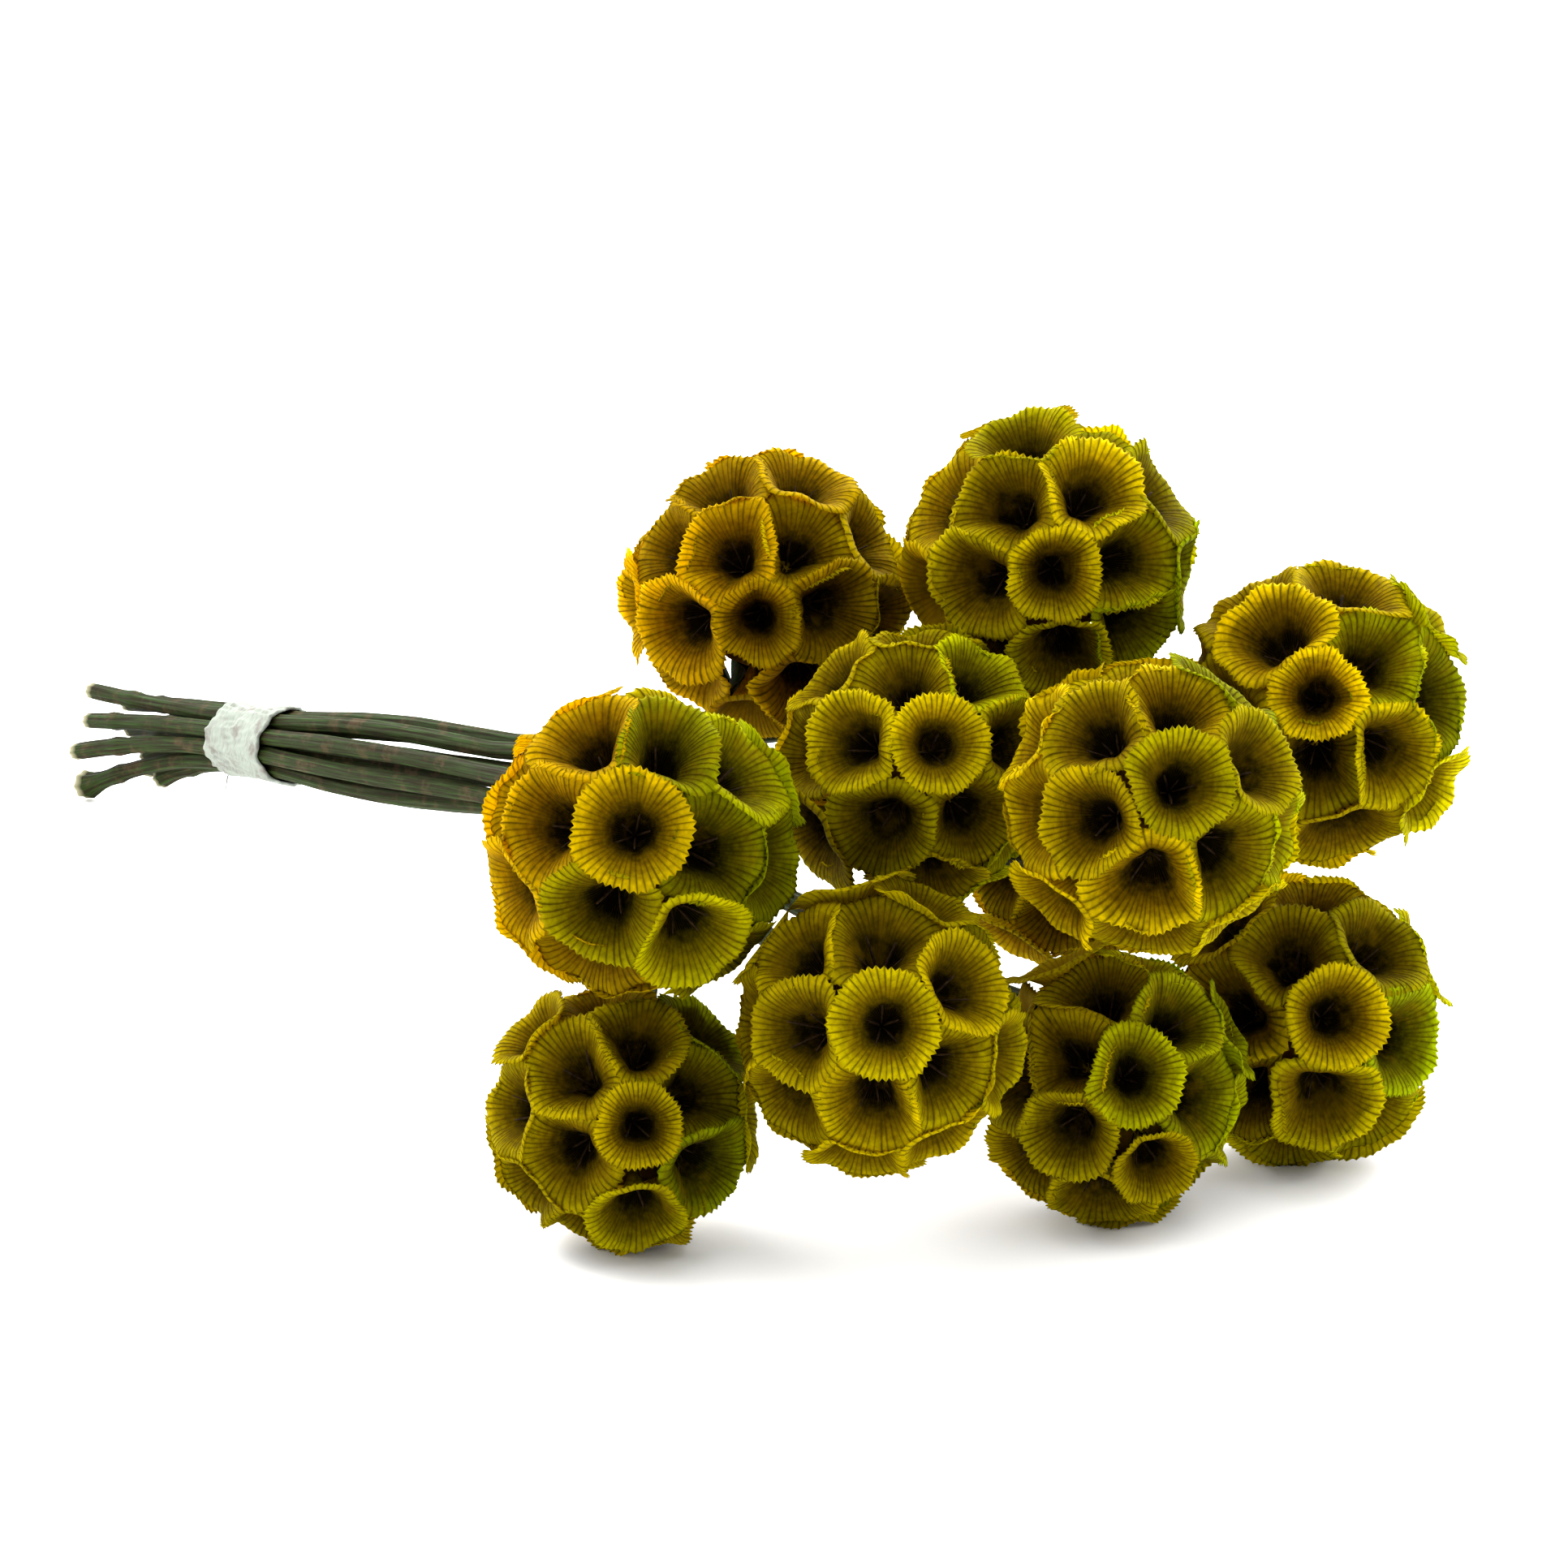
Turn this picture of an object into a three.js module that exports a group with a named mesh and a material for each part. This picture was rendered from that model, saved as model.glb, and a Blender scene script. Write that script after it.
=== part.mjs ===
import * as THREE from "three";

// A tied bunch of dried drumstick scabiosa, lying on its lowest heads and one cut end.
// Millimetres, +X along the bunch from the cut ends to the heads, +Z up, measured from the tie
// until the whole bunch is centred at the end.
const EYE = new THREE.Vector3(791.6, -418.1, 252.2);
const TIE_CENTRE = new THREE.Vector3(0, 0, 24);
const TIE_SHIFT = 10.4;
const TIE_LENGTH = 23;
const TIE_INNER_RADIUS = 7.7;
const TIE_WALL = 0.6;
const TIE_STEP = 0.2;
const TIE_SIDES = 18;

const GOLD = 0xa8880c;
const OLIVE = 0x94900c;
const GREEN = 0x868a10;
const STALK = 0x5a6350;
const TAPE = 0xd9d6dc;

// Each head has its middle, its radius, the angle of its stem's place in the tie (an inner place
// is nearer the middle), how late its stem fans out and how it sways there, its cut end, and the
// cups that show from EYE as [right, up] of the head's middle, in head radii, the most proud first.
const HEADS = [
  {
    centre: [200.3, -5.7, 92], radius: 23.8, place: 112, fan: 3.8,
    sway: [0, 0, -2], cutEnd: [-60, -4.5, 23], color: GOLD,
    cups: [[-0.03, -0.14], [-0.21, 0.24], [0.22, 0.28], [0.37, -0.09], [-0.28, 0.63],
      [0.24, 0.68], [-0.58, 0.28], [0.67, 0.33], [-0.48, -0.17]],
  },
  {
    centre: [235.9, 26.7, 100.6], radius: 24.6, place: 72, fan: 3.5,
    sway: [0, 3, -1], cutEnd: [-55, 1.5, 20.4], color: OLIVE,
    cups: [[0.03, -0.08], [0.21, 0.37], [-0.23, 0.3], [0.45, -0.03], [-0.38, -0.13],
      [-0.14, 0.63], [0.1, -0.53], [0.64, 0.4], [0.45, -0.41]],
  },
  {
    centre: [270.9, 55.5, 77], radius: 24.6, place: 32, fan: 2.7,
    sway: [-3, 7, 8], cutEnd: [-52, 3.5, 15], color: OLIVE,
    cups: [[0, 0.09], [-0.23, 0.42], [0.33, 0.3], [0, -0.28], [0.4, -0.19], [0.66, 0.12]],
  },
  {
    centre: [241.3, -58, 66.3], radius: 24.5, place: 152, fan: 3.5,
    sway: [1, -2, -2], cutEnd: [-56, -7.5, 17.5], color: GOLD,
    cups: [[-0.05, 0.07], [-0.27, 0.54], [0.13, 0.5], [0.54, 0.41], [0.4, -0.04], [-0.2, -0.33],
      [0.25, -0.47], [-0.5, 0.14], [-0.7, -0.24]],
  },
  {
    centre: [247.1, -8.8, 73.1], radius: 22.3, place: 132, inner: true, fan: 3.3,
    sway: [3, 3, -4], cutEnd: [-49, -1, 16], color: GREEN,
    cups: [[0.12, 0.11], [-0.36, 0.12], [-0.08, 0.52], [0.38, 0.54], [0.61, 0.12], [0.36, -0.37],
      [-0.19, -0.38], [0.09, -0.68], [-0.62, -0.42]],
  },
  {
    centre: [292.4, 2.2, 74.5], radius: 23.1, place: 312, inner: true, fan: 2.6,
    sway: [2, 7, -10], cutEnd: [-44, 0, 11], color: OLIVE,
    cups: [[0.15, 0.12], [-0.3, 0.43], [0.12, 0.57], [-0.3, -0.09], [0.55, 0.24], [0.01, -0.44],
      [0.45, -0.3], [-0.51, -0.56]],
  },
  {
    centre: [238.1, -59.7, 21.23], radius: 21.5, place: 192, fan: 3.8,
    sway: [-1, 0, 6], cutEnd: [-56, -11, 11], color: GREEN,
    cups: [[0.08, -0.06], [-0.29, 0.28], [0.1, 0.44], [0.47, 0.15], [-0.37, -0.24],
      [0.52, -0.32], [0.08, -0.6]],
  },
  {
    centre: [268.9, -32.5, 39], radius: 22.6, place: 232, fan: 4,
    sway: [2, -1, -5], cutEnd: [-56, -9, 2.56], knob: 1.75, color: GREEN,
    cups: [[0.04, 0.01], [0.03, 0.53], [-0.46, 0.44], [-0.44, -0.03], [0.46, 0.24],
      [0.41, -0.29], [-0.02, -0.46], [-0.55, -0.44]],
  },
  {
    centre: [272.8, 11.4, 22.11], radius: 22.4, place: 272, fan: 4.5,
    sway: [4, -3, -2], cutEnd: [-34, -1.5, 8.5], knob: 1.3, color: GREEN,
    cups: [[0.25, -0.43], [0.12, 0.05], [-0.03, 0.58], [0.38, 0.41], [-0.23, 0.15],
      [-0.23, -0.27], [0.56, -0.08], [-0.58, 0.03], [0.3, 0.87], [-0.05, -0.71]],
  },
  {
    centre: [269.9, 54.6, 24.12], radius: 24.5, place: 312, fan: 2.7,
    sway: [-1, -5, -10], cutEnd: [-50, 3.5, 6], color: OLIVE,
    cups: [[0.19, 0.02], [-0.07, 0.36], [0.43, 0.43], [0.6, -0.1], [0.14, -0.46], [0.09, 0.74],
      [-0.29, -0.46]],
  },
  {
    centre: [235.2, 34.9, 52.7], radius: 23, place: 352, fan: 3,
    sway: [2, 1, 2], cutEnd: [-47, 5, 10.5], color: OLIVE,
    cups: [],
  },
];

// Cups, as shares of the head's radius unless a name says otherwise
const SITES = 28;
const PIT_REACH = 0.78;
const SEEN_LIMIT = 0.97;
const VALLEY = 0.48;
const PIT = 0.6;
const PROUD = 1.04;
const CUP_HEIGHT = [0.99, 1.02];
const CONTACT_GAP = 0.4;
const RIM_WAVE = 0.01;
const RIM_DROP = 0.012;
const CORNER_CUT = 0.25;
const OUTER_RIM = 0.97;
const INNER_RIM = 0.86;

// Stems in millimetres, and the bracts under a head as shares of its radius
const STEM_RADIUS = 1.75;
const STEM_SIDES = 6;
const OUTER_PLACE = 5.6;
const INNER_PLACE = 1.85;
const BULGE = 0.36;
const BULGE_START = 0.09;
const BULGE_RATE = 3;
const SEAT_GAP = 0.35;
const END_STEPS = [0, 0.07, 0.16, 0.4, 0.68, 0.84, 1];
const MAIN_STEPS = [0.088, 0.18, 0.29, 0.41, 0.53, 0.65, 0.75, 0.84, 0.92];
const BRACTS = [
  { reach: 1.0, width: 0.07 },
  { reach: 0.8, width: 0.085, tip: 0.21 },
  { reach: 0.62, width: 0.09 },
];

function seeded(seed) {
  let state = seed;
  return () => {
    state = (state * 16807) % 2147483647;
    return state / 2147483647;
  };
}

const vector = (list) => new THREE.Vector3(...list);
const mix = (a, b, share) => a.clone().lerp(b, share);

HEADS.forEach((head) => {
  head.middle = vector(head.centre);
});
const headsMiddle = HEADS.reduce((sum, head) => sum.add(head.middle), new THREE.Vector3())
  .divideScalar(HEADS.length);
const run = headsMiddle.clone().sub(TIE_CENTRE);
const along = run.clone().normalize();
const across = new THREE.Vector3(0, 0, 1).cross(along).normalize();
const above = along.clone().cross(across);

// A stem's line: from its place in the tie it keeps with the bundle, then fans out to its head
function placeInTie(head) {
  const angle = THREE.MathUtils.degToRad(head.place);
  const radius = head.inner ? INNER_PLACE : OUTER_PLACE;
  return across.clone().multiplyScalar(radius * Math.cos(angle))
    .addScaledVector(above, radius * Math.sin(angle));
}

function mainLine(head, s) {
  const loose = Math.min(BULGE_RATE * Math.max(s - BULGE_START, 0), 1);
  const swell = 1 + BULGE * Math.sin(Math.PI * loose);
  const swayPeak = 17.63;
  const point = TIE_CENTRE.clone().addScaledVector(run, s);
  point.addScaledVector(placeInTie(head), swell * (1 - s * s));
  point.addScaledVector(head.middle.clone().sub(headsMiddle), s ** head.fan);
  return point.addScaledVector(vector(head.sway ?? [0, 0, 0]), swayPeak * s ** 6 * (1 - s));
}

function endLine(head, w) {
  const tied = TIE_CENTRE.clone().add(placeInTie(head));
  const cut = vector(head.cutEnd);
  const bend = tied.clone().addScaledVector(along, -0.5 * tied.distanceTo(cut));
  return mix(mix(cut, bend, w), mix(bend, tied, w), w);
}

// The place on the stem's line at a distance from its head's middle
function lineAt(head, distance) {
  let near = 1;
  let far = 0.75;
  for (let i = 0; i < 40; i++) {
    const s = (near + far) / 2;
    if (mainLine(head, s).distanceTo(head.middle) < distance) near = s;
    else far = s;
  }
  return mainLine(head, far);
}

// Directions of a head's cups: its stem's first, then those that show, then the others,
// each put in the widest space left and pushed apart
function sites(head) {
  const toEye = EYE.clone().sub(head.middle).normalize();
  const right = new THREE.Vector3(0, 0, 1).cross(toEye).normalize();
  const up = toEye.clone().cross(right);
  const list = [head.stemSide];
  for (const [x, y] of head.cups) {
    const size = Math.hypot(x, y);
    const lean = Math.min(size / PIT_REACH, SEEN_LIMIT);
    list.push(toEye.clone().multiplyScalar(Math.sqrt(1 - lean * lean))
      .addScaledVector(right, (lean * x) / size)
      .addScaledVector(up, (lean * y) / size));
  }
  const fixed = list.length;
  const spots = [];
  const spotCount = 500;
  for (let i = 0; i < spotCount; i++) {
    const z = 1 - (2 * i + 1) / spotCount;
    const turn = i * Math.PI * (3 - Math.sqrt(5));
    const r = Math.sqrt(1 - z * z);
    spots.push(new THREE.Vector3(r * Math.cos(turn), r * Math.sin(turn), z));
  }
  const closeness = (spot) => Math.max(...list.map((site) => site.dot(spot)));
  while (list.length < SITES) {
    list.push(spots.reduce((best, spot) => (closeness(spot) < closeness(best) ? spot : best))
      .clone());
  }
  const pushStep = 0.004;
  for (let round = 0; round < 60; round++) {
    for (let i = fixed; i < SITES; i++) {
      const push = new THREE.Vector3();
      for (let j = 0; j < SITES; j++) {
        if (j === i) continue;
        const away = list[i].clone().sub(list[j]);
        push.addScaledVector(away, 1 / away.length() ** 5);
      }
      list[i].addScaledVector(push, pushStep).normalize();
    }
  }
  return list;
}

// The corners where three cups meet, and each cup's ring of corners, turning left from outside
function cells(list) {
  const corners = [];
  const rings = list.map(() => []);
  for (let i = 0; i < list.length; i++) {
    for (let j = i + 1; j < list.length; j++) {
      for (let k = j + 1; k < list.length; k++) {
        const corner = list[j].clone().sub(list[i]).cross(list[k].clone().sub(list[i]));
        corner.normalize();
        if (corner.dot(list[i]) < 0) corner.negate();
        const reach = corner.dot(list[i]);
        const empty = list.every((site, m) => m === i || m === j || m === k
          || site.dot(corner) < reach);
        if (!empty) continue;
        [i, j, k].forEach((m) => rings[m].push(corners.length));
        corners.push(corner);
      }
    }
  }
  rings.forEach((ring, m) => {
    const side = corners[ring[0]].clone().cross(list[m]).normalize();
    const front = list[m].clone().cross(side);
    const angle = (c) => Math.atan2(corners[c].dot(front), corners[c].dot(side));
    ring.sort((a, b) => angle(a) - angle(b));
  });
  return { corners, rings };
}

class Skin {
  constructor() {
    this.points = [];
    this.faces = [];
  }

  add(point) {
    this.points.push(point.x, point.y, point.z);
    return this.points.length / 3 - 1;
  }

  // Joins two rings of equal count that turn the same way
  band(lower, upper) {
    lower.forEach((a, i) => {
      const b = lower[(i + 1) % lower.length];
      const c = upper[(i + 1) % upper.length];
      this.faces.push(a, b, c, a, c, upper[i]);
    });
  }

  // Joins a ring to one of twice as many points, whose pairs lie round the ring's points
  split(single, double) {
    single.forEach((point, i) => {
      const next = (i + 1) % single.length;
      this.faces.push(point, double[2 * i + 1], double[2 * i]);
      this.faces.push(point, single[next], double[2 * next]);
      this.faces.push(point, double[2 * next], double[2 * i + 1]);
    });
  }

  fan(ring, tip) {
    ring.forEach((a, i) => this.faces.push(a, ring[(i + 1) % ring.length], tip));
  }

  mesh(name, material) {
    const geometry = new THREE.BufferGeometry();
    geometry.setAttribute("position", new THREE.Float32BufferAttribute(this.points, 3));
    geometry.setIndex(this.faces);
    const mesh = new THREE.Mesh(geometry, material);
    mesh.name = name;
    return mesh;
  }
}

// Where a head is pressed flat: against each other head half way, and on what the bunch lies on
function contacts(head) {
  const flats = [{ facing: new THREE.Vector3(0, 0, -1), reach: head.middle.z }];
  HEADS.filter((other) => other !== head).forEach((other) => {
    const toOther = other.middle.clone().sub(head.middle);
    const gap = toOther.length();
    const reach = (gap ** 2 + head.radius ** 2 - other.radius ** 2) / (2 * gap);
    flats.push({ facing: toOther.divideScalar(gap), reach: reach - CONTACT_GAP / 2 });
  });
  return flats;
}

function headMesh(head, index) {
  const random = seeded(1000 + 77 * index);
  const list = sites(head);
  const { corners, rings } = cells(list);
  const skin = new Skin();
  const flats = contacts(head);
  const place = (direction, share) => {
    const ray = direction.clone().normalize();
    const reach = flats.reduce((least, flat) => {
      const lean = ray.dot(flat.facing);
      return lean > 0 ? Math.min(least, flat.reach / lean) : least;
    }, head.radius * share);
    return skin.add(ray.multiplyScalar(reach).add(head.middle));
  };
  const valley = corners.map((corner) => place(corner, VALLEY));
  rings.forEach((ring, m) => {
    const base = ring.map((c) => valley[c]);
    if (m === 0) {
      skin.fan(base, place(list[m], VALLEY));
      return;
    }
    const height = m === 1 ? PROUD : THREE.MathUtils.lerp(...CUP_HEIGHT, random());
    const outer = [];
    const inner = [];
    ring.forEach((c, j) => {
      const before = corners[ring[(j + ring.length - 1) % ring.length]];
      const after = corners[ring[(j + 1) % ring.length]];
      for (const other of [before, after]) {
        const direction = mix(corners[c], other, CORNER_CUT).normalize();
        const share = height + RIM_WAVE * (2 * random() - 1);
        outer.push(place(mix(list[m], direction, OUTER_RIM), share));
        inner.push(place(mix(list[m], direction, INNER_RIM), share - RIM_DROP));
      }
    });
    skin.split(base, outer);
    skin.band(outer, inner);
    skin.fan(inner, place(list[m], PIT));
  });
  const papery = new THREE.MeshStandardMaterial({
    color: head.color, roughness: 0.85, metalness: 0,
  });
  return skin.mesh(`head_${String(index + 1).padStart(2, "0")}`, papery);
}

// A ring of points round a line, turning left as seen against its direction
function ringAbout(skin, centre, direction, radii) {
  const side = new THREE.Vector3(0, 1, 0).addScaledVector(direction, -direction.y).normalize();
  const front = direction.clone().cross(side);
  return radii.map((radius, i) => {
    const angle = (2 * Math.PI * i) / radii.length;
    return skin.add(centre.clone().addScaledVector(side, radius * Math.cos(angle))
      .addScaledVector(front, radius * Math.sin(angle)));
  });
}

function stemMesh(head, index, material) {
  const random = seeded(500 + 31 * index);
  const skin = new Skin();
  const line = END_STEPS.map((w) => endLine(head, w));
  const lastStep = MAIN_STEPS.length - 1;
  const neck = lineAt(head, head.radius * BRACTS[0].reach);
  MAIN_STEPS.forEach((s, i) => {
    const point = mainLine(head, s);
    const clear = head.radius * 1.25;
    if (i < lastStep || point.distanceTo(head.middle) > clear) line.push(point);
  });
  line.push(neck);
  const rings = line.map((point, i) => {
    const direction = (line[i + 1] ?? head.middle).clone().sub(line[Math.max(i - 1, 0)]);
    const swollen = i < 2 ? head.knob ?? 1 : 1;
    const radius = STEM_RADIUS * swollen * (1 - 0.08 * random());
    return ringAbout(skin, point, direction.normalize(), Array(STEM_SIDES).fill(radius));
  });
  skin.fan([...rings[0]].reverse(), skin.add(line[0]));
  rings.slice(1).forEach((ring, i) => skin.band(rings[i], ring));

  const inward = head.stemSide.clone().negate();
  const placeUnder = (reach) => head.middle.clone()
    .addScaledVector(head.stemSide, head.radius * reach);
  const [, leaves, collar] = BRACTS;
  const tips = Array.from({ length: 2 * STEM_SIDES }, (_, i) => (
    head.radius * (i % 2 ? leaves.tip : leaves.width)));
  const star = ringAbout(skin, placeUnder(leaves.reach), inward, tips);
  const collarRadii = Array(STEM_SIDES).fill(head.radius * collar.width);
  const neckRing = rings[rings.length - 1];
  const collarRing = ringAbout(skin, placeUnder(collar.reach), inward, collarRadii);
  const seat = head.middle.clone()
    .addScaledVector(head.stemSide, head.radius * VALLEY + SEAT_GAP);
  const seatRing = ringAbout(skin, seat, inward, collarRadii);
  neckRing.forEach((a, i) => {
    const next = (i + 1) % STEM_SIDES;
    const [valley, tip, nextValley] = [2 * i, 2 * i + 1, (2 * i + 2) % star.length];
    skin.faces.push(a, star[tip], star[valley]);
    skin.faces.push(a, neckRing[next], star[tip]);
    skin.faces.push(neckRing[next], star[nextValley], star[tip]);
    skin.faces.push(collarRing[i], star[valley], star[tip]);
    skin.faces.push(collarRing[i], star[tip], collarRing[next]);
    skin.faces.push(collarRing[next], star[tip], star[nextValley]);
  });
  skin.band(collarRing, seatRing);
  skin.fan(seatRing, skin.add(seat));
  return skin.mesh(`stem_${String(index + 1).padStart(2, "0")}`, material);
}

// The tape: wound a little more than once, so one step shows where its end is stuck down
function tieMesh() {
  const skin = new Skin();
  const ring = (offset, radii) => ringAbout(
    skin, TIE_CENTRE.clone().addScaledVector(along, TIE_SHIFT + offset), along, radii);
  const turns = Array.from({ length: TIE_SIDES }, (_, i) => i / TIE_SIDES);
  const wound = (swell) => turns.map((turn) => (
    TIE_INNER_RADIUS + TIE_WALL + swell + TIE_STEP * turn));
  const inside = turns.map(() => TIE_INNER_RADIUS);
  const half = TIE_LENGTH / 2;
  const outerStart = ring(-half, wound(0));
  const outerMiddle = ring(0, wound(0.25));
  const outerEnd = ring(half, wound(0));
  const innerEnd = ring(half, inside);
  const innerStart = ring(-half, inside);
  skin.band(outerStart, outerMiddle);
  skin.band(outerMiddle, outerEnd);
  skin.band(outerEnd, innerEnd);
  skin.band(innerEnd, innerStart);
  skin.band(innerStart, outerStart);
  const crepe = new THREE.MeshStandardMaterial({ color: TAPE, roughness: 0.9, metalness: 0 });
  return skin.mesh("tie", crepe);
}

const bunch = new THREE.Group();
const dried = new THREE.MeshStandardMaterial({ color: STALK, roughness: 0.8, metalness: 0 });
HEADS.forEach((head, index) => {
  head.stemSide = lineAt(head, head.radius * 0.9).sub(head.middle).normalize();
  bunch.add(headMesh(head, index));
  bunch.add(stemMesh(head, index, dried));
});
bunch.add(tieMesh());

const box = new THREE.Box3().setFromObject(bunch, true);
bunch.position.set(-(box.min.x + box.max.x) / 2, -(box.min.y + box.max.y) / 2, -box.min.z);

export default bunch;
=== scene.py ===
import math
from dataclasses import dataclass

import bpy
import numpy as np
from bpy.props import FloatProperty, FloatVectorProperty, IntProperty, PointerProperty
from numpy.linalg import norm
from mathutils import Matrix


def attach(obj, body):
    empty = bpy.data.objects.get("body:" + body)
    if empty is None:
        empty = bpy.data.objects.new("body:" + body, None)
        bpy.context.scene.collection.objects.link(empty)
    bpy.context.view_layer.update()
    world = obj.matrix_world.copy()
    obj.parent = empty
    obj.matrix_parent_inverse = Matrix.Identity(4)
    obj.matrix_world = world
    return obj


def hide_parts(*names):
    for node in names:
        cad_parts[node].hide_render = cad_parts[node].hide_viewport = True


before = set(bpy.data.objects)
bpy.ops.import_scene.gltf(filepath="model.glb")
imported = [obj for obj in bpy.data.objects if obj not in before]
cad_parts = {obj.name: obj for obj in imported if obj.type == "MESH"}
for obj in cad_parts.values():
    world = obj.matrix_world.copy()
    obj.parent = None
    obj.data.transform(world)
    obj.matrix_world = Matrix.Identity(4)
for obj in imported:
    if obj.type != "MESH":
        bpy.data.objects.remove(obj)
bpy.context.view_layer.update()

bl_info = {
    "name": "Dried Scabiosa Bunch",
    "version": (1, 0, 0),
    "blender": (4, 5, 0),
    "location": "3D View > Sidebar > Scabiosa",
    "description": "Papery seed heads, ribbed stalks and a crepe tie for dried scabiosa",
    "category": "Object",
}


@dataclass
class Head:
    """One dried head with its stalk, in metres, measured from the tie along the bunch.

    place is the stalk's angle in the tie, fan how late it leaves the others, cut its cut end and
    sway its bend. cups are those that show from EYE, right and up of the middle in head radii,
    the most proud one first; proud is that one's reach, and a stray cup stands out at the edge.
    """

    centre: tuple
    radius: float
    place: float
    fan: float
    cut: tuple
    tint: str
    cups: tuple = ()
    inner: bool = False
    sway: tuple = (0, 0, 0)
    knob: float = 1
    green: float = 0.5
    stray: tuple = ()
    proud: float = 0.33
    crumple: float = 1


# As the solids have them; MIDDLE is where the frame's origin lies
EYE = np.array((0.7916, -0.4181, 0.2522))
MIDDLE = np.array((0.1277812, -0.0010367, 0.0000485))
TIE_CENTRE = np.array((0, 0, 0.024))
TIE_SHIFT = 0.0104
TIE_LENGTH = 0.023
VIEW_LENS = 100.55
VIEW_DOWN = math.radians(15)
VIEW_TURN = math.radians(54.86)

HEADS = (
    Head(
        centre=(0.2003, -0.0057, 0.092), radius=0.0238, place=112, fan=3.8,
        cut=(-0.06, -0.0045, 0.023), tint="gold", sway=(0, 0, -0.002), green=0.15, proud=0.27,
        crumple=1.2,
        cups=((-0.03, -0.14), (-0.21, 0.24), (0.22, 0.28), (0.37, -0.09), (-0.28, 0.63),
              (0.24, 0.68), (-0.58, 0.28), (0.67, 0.33), (-0.48, -0.17)),
    ),
    Head(
        centre=(0.2359, 0.0267, 0.1006), radius=0.0246, place=72, fan=3.5,
        cut=(-0.055, 0.0015, 0.0204), tint="olive", sway=(0, 0.003, -0.001), green=0.4, proud=0.29,
        crumple=1.1,
        cups=((0.03, -0.08), (0.21, 0.37), (-0.23, 0.3), (0.45, -0.03), (-0.38, -0.13),
              (-0.14, 0.63), (0.1, -0.53), (0.64, 0.4), (0.45, -0.41)),
    ),
    Head(
        centre=(0.2709, 0.0555, 0.077), radius=0.0246, place=32, fan=2.7,
        cut=(-0.052, 0.0035, 0.015), tint="olive", sway=(-0.003, 0.007, 0.008), green=0.3,
        proud=0.28, crumple=1.2,
        cups=((0, 0.09), (-0.23, 0.42), (0.33, 0.3), (0, -0.28), (0.4, -0.19), (0.66, 0.12)),
    ),
    Head(
        centre=(0.2413, -0.058, 0.0663), radius=0.0245, place=152, fan=3.5,
        cut=(-0.056, -0.0075, 0.0175), tint="gold", sway=(0.001, -0.002, -0.002), green=0.6,
        proud=0.37,
        cups=((-0.05, 0.07), (-0.27, 0.54), (0.13, 0.5), (0.54, 0.41), (0.4, -0.04),
              (-0.2, -0.33), (0.25, -0.47), (-0.5, 0.14), (-0.7, -0.24)),
    ),
    Head(
        centre=(0.2471, -0.0088, 0.0731), radius=0.0223, place=132, fan=3.3,
        cut=(-0.049, -0.001, 0.016), tint="green", inner=True, sway=(0.003, 0.003, -0.004),
        green=0.3, stray=(-0.78, -0.62),
        cups=((0.12, 0.11), (-0.36, 0.12), (-0.08, 0.52), (0.38, 0.54), (0.61, 0.12),
              (0.36, -0.37), (-0.19, -0.38), (0.09, -0.68), (-0.62, -0.42)),
    ),
    Head(
        centre=(0.2924, 0.0022, 0.0745), radius=0.0231, place=312, fan=2.6, cut=(-0.044, 0, 0.011),
        tint="olive", inner=True, sway=(0.002, 0.007, -0.01), green=0.3, crumple=1.2,
        cups=((0.15, 0.12), (-0.3, 0.43), (0.12, 0.57), (-0.3, -0.09), (0.55, 0.24),
              (0.01, -0.44), (0.45, -0.3), (-0.51, -0.56)),
    ),
    Head(
        centre=(0.2381, -0.0597, 0.02123), radius=0.0215, place=192, fan=3.8,
        cut=(-0.056, -0.011, 0.011), tint="green", sway=(-0.001, 0, 0.006), green=0.2, proud=0.29,
        cups=((0.08, -0.06), (-0.29, 0.28), (0.1, 0.44), (0.47, 0.15), (-0.37, -0.24),
              (0.52, -0.32), (0.08, -0.6)),
    ),
    Head(
        centre=(0.2689, -0.0325, 0.039), radius=0.0226, place=232, fan=4,
        cut=(-0.056, -0.009, 0.00256), tint="green", sway=(0.002, -0.001, -0.005), knob=1.75,
        green=0.15, proud=0.36, stray=(-0.42, 0.95),
        cups=((0.04, 0.01), (0.03, 0.53), (-0.46, 0.44), (-0.44, -0.03), (0.46, 0.24),
              (0.41, -0.29), (-0.02, -0.46), (-0.55, -0.44)),
    ),
    Head(
        centre=(0.2728, 0.0114, 0.02211), radius=0.0224, place=272, fan=4.5,
        cut=(-0.034, -0.0015, 0.0085), tint="green", sway=(0.004, -0.003, -0.002), knob=1.3,
        green=0.4, proud=0.28, stray=(-0.44, 0.9),
        cups=((0.25, -0.43), (0.12, 0.05), (-0.03, 0.58), (0.38, 0.41), (-0.23, 0.15),
              (-0.23, -0.27), (0.56, -0.08), (-0.58, 0.03), (0.3, 0.87), (-0.05, -0.71)),
    ),
    Head(
        centre=(0.2699, 0.0546, 0.02412), radius=0.0245, place=312, fan=2.7,
        cut=(-0.05, 0.0035, 0.006), tint="olive", sway=(-0.001, -0.005, -0.01), green=0.45,
        cups=((0.19, 0.02), (-0.07, 0.36), (0.43, 0.43), (0.6, -0.1), (0.14, -0.46),
              (0.09, 0.74), (-0.29, -0.46)),
    ),
    Head(
        centre=(0.2352, 0.0349, 0.0527), radius=0.023, place=352, fan=3,
        cut=(-0.047, 0.005, 0.0105), tint="olive", sway=(0.002, 0.001, 0.002), green=0,
        stray=(-0.35, -0.93),
    ),
)

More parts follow.
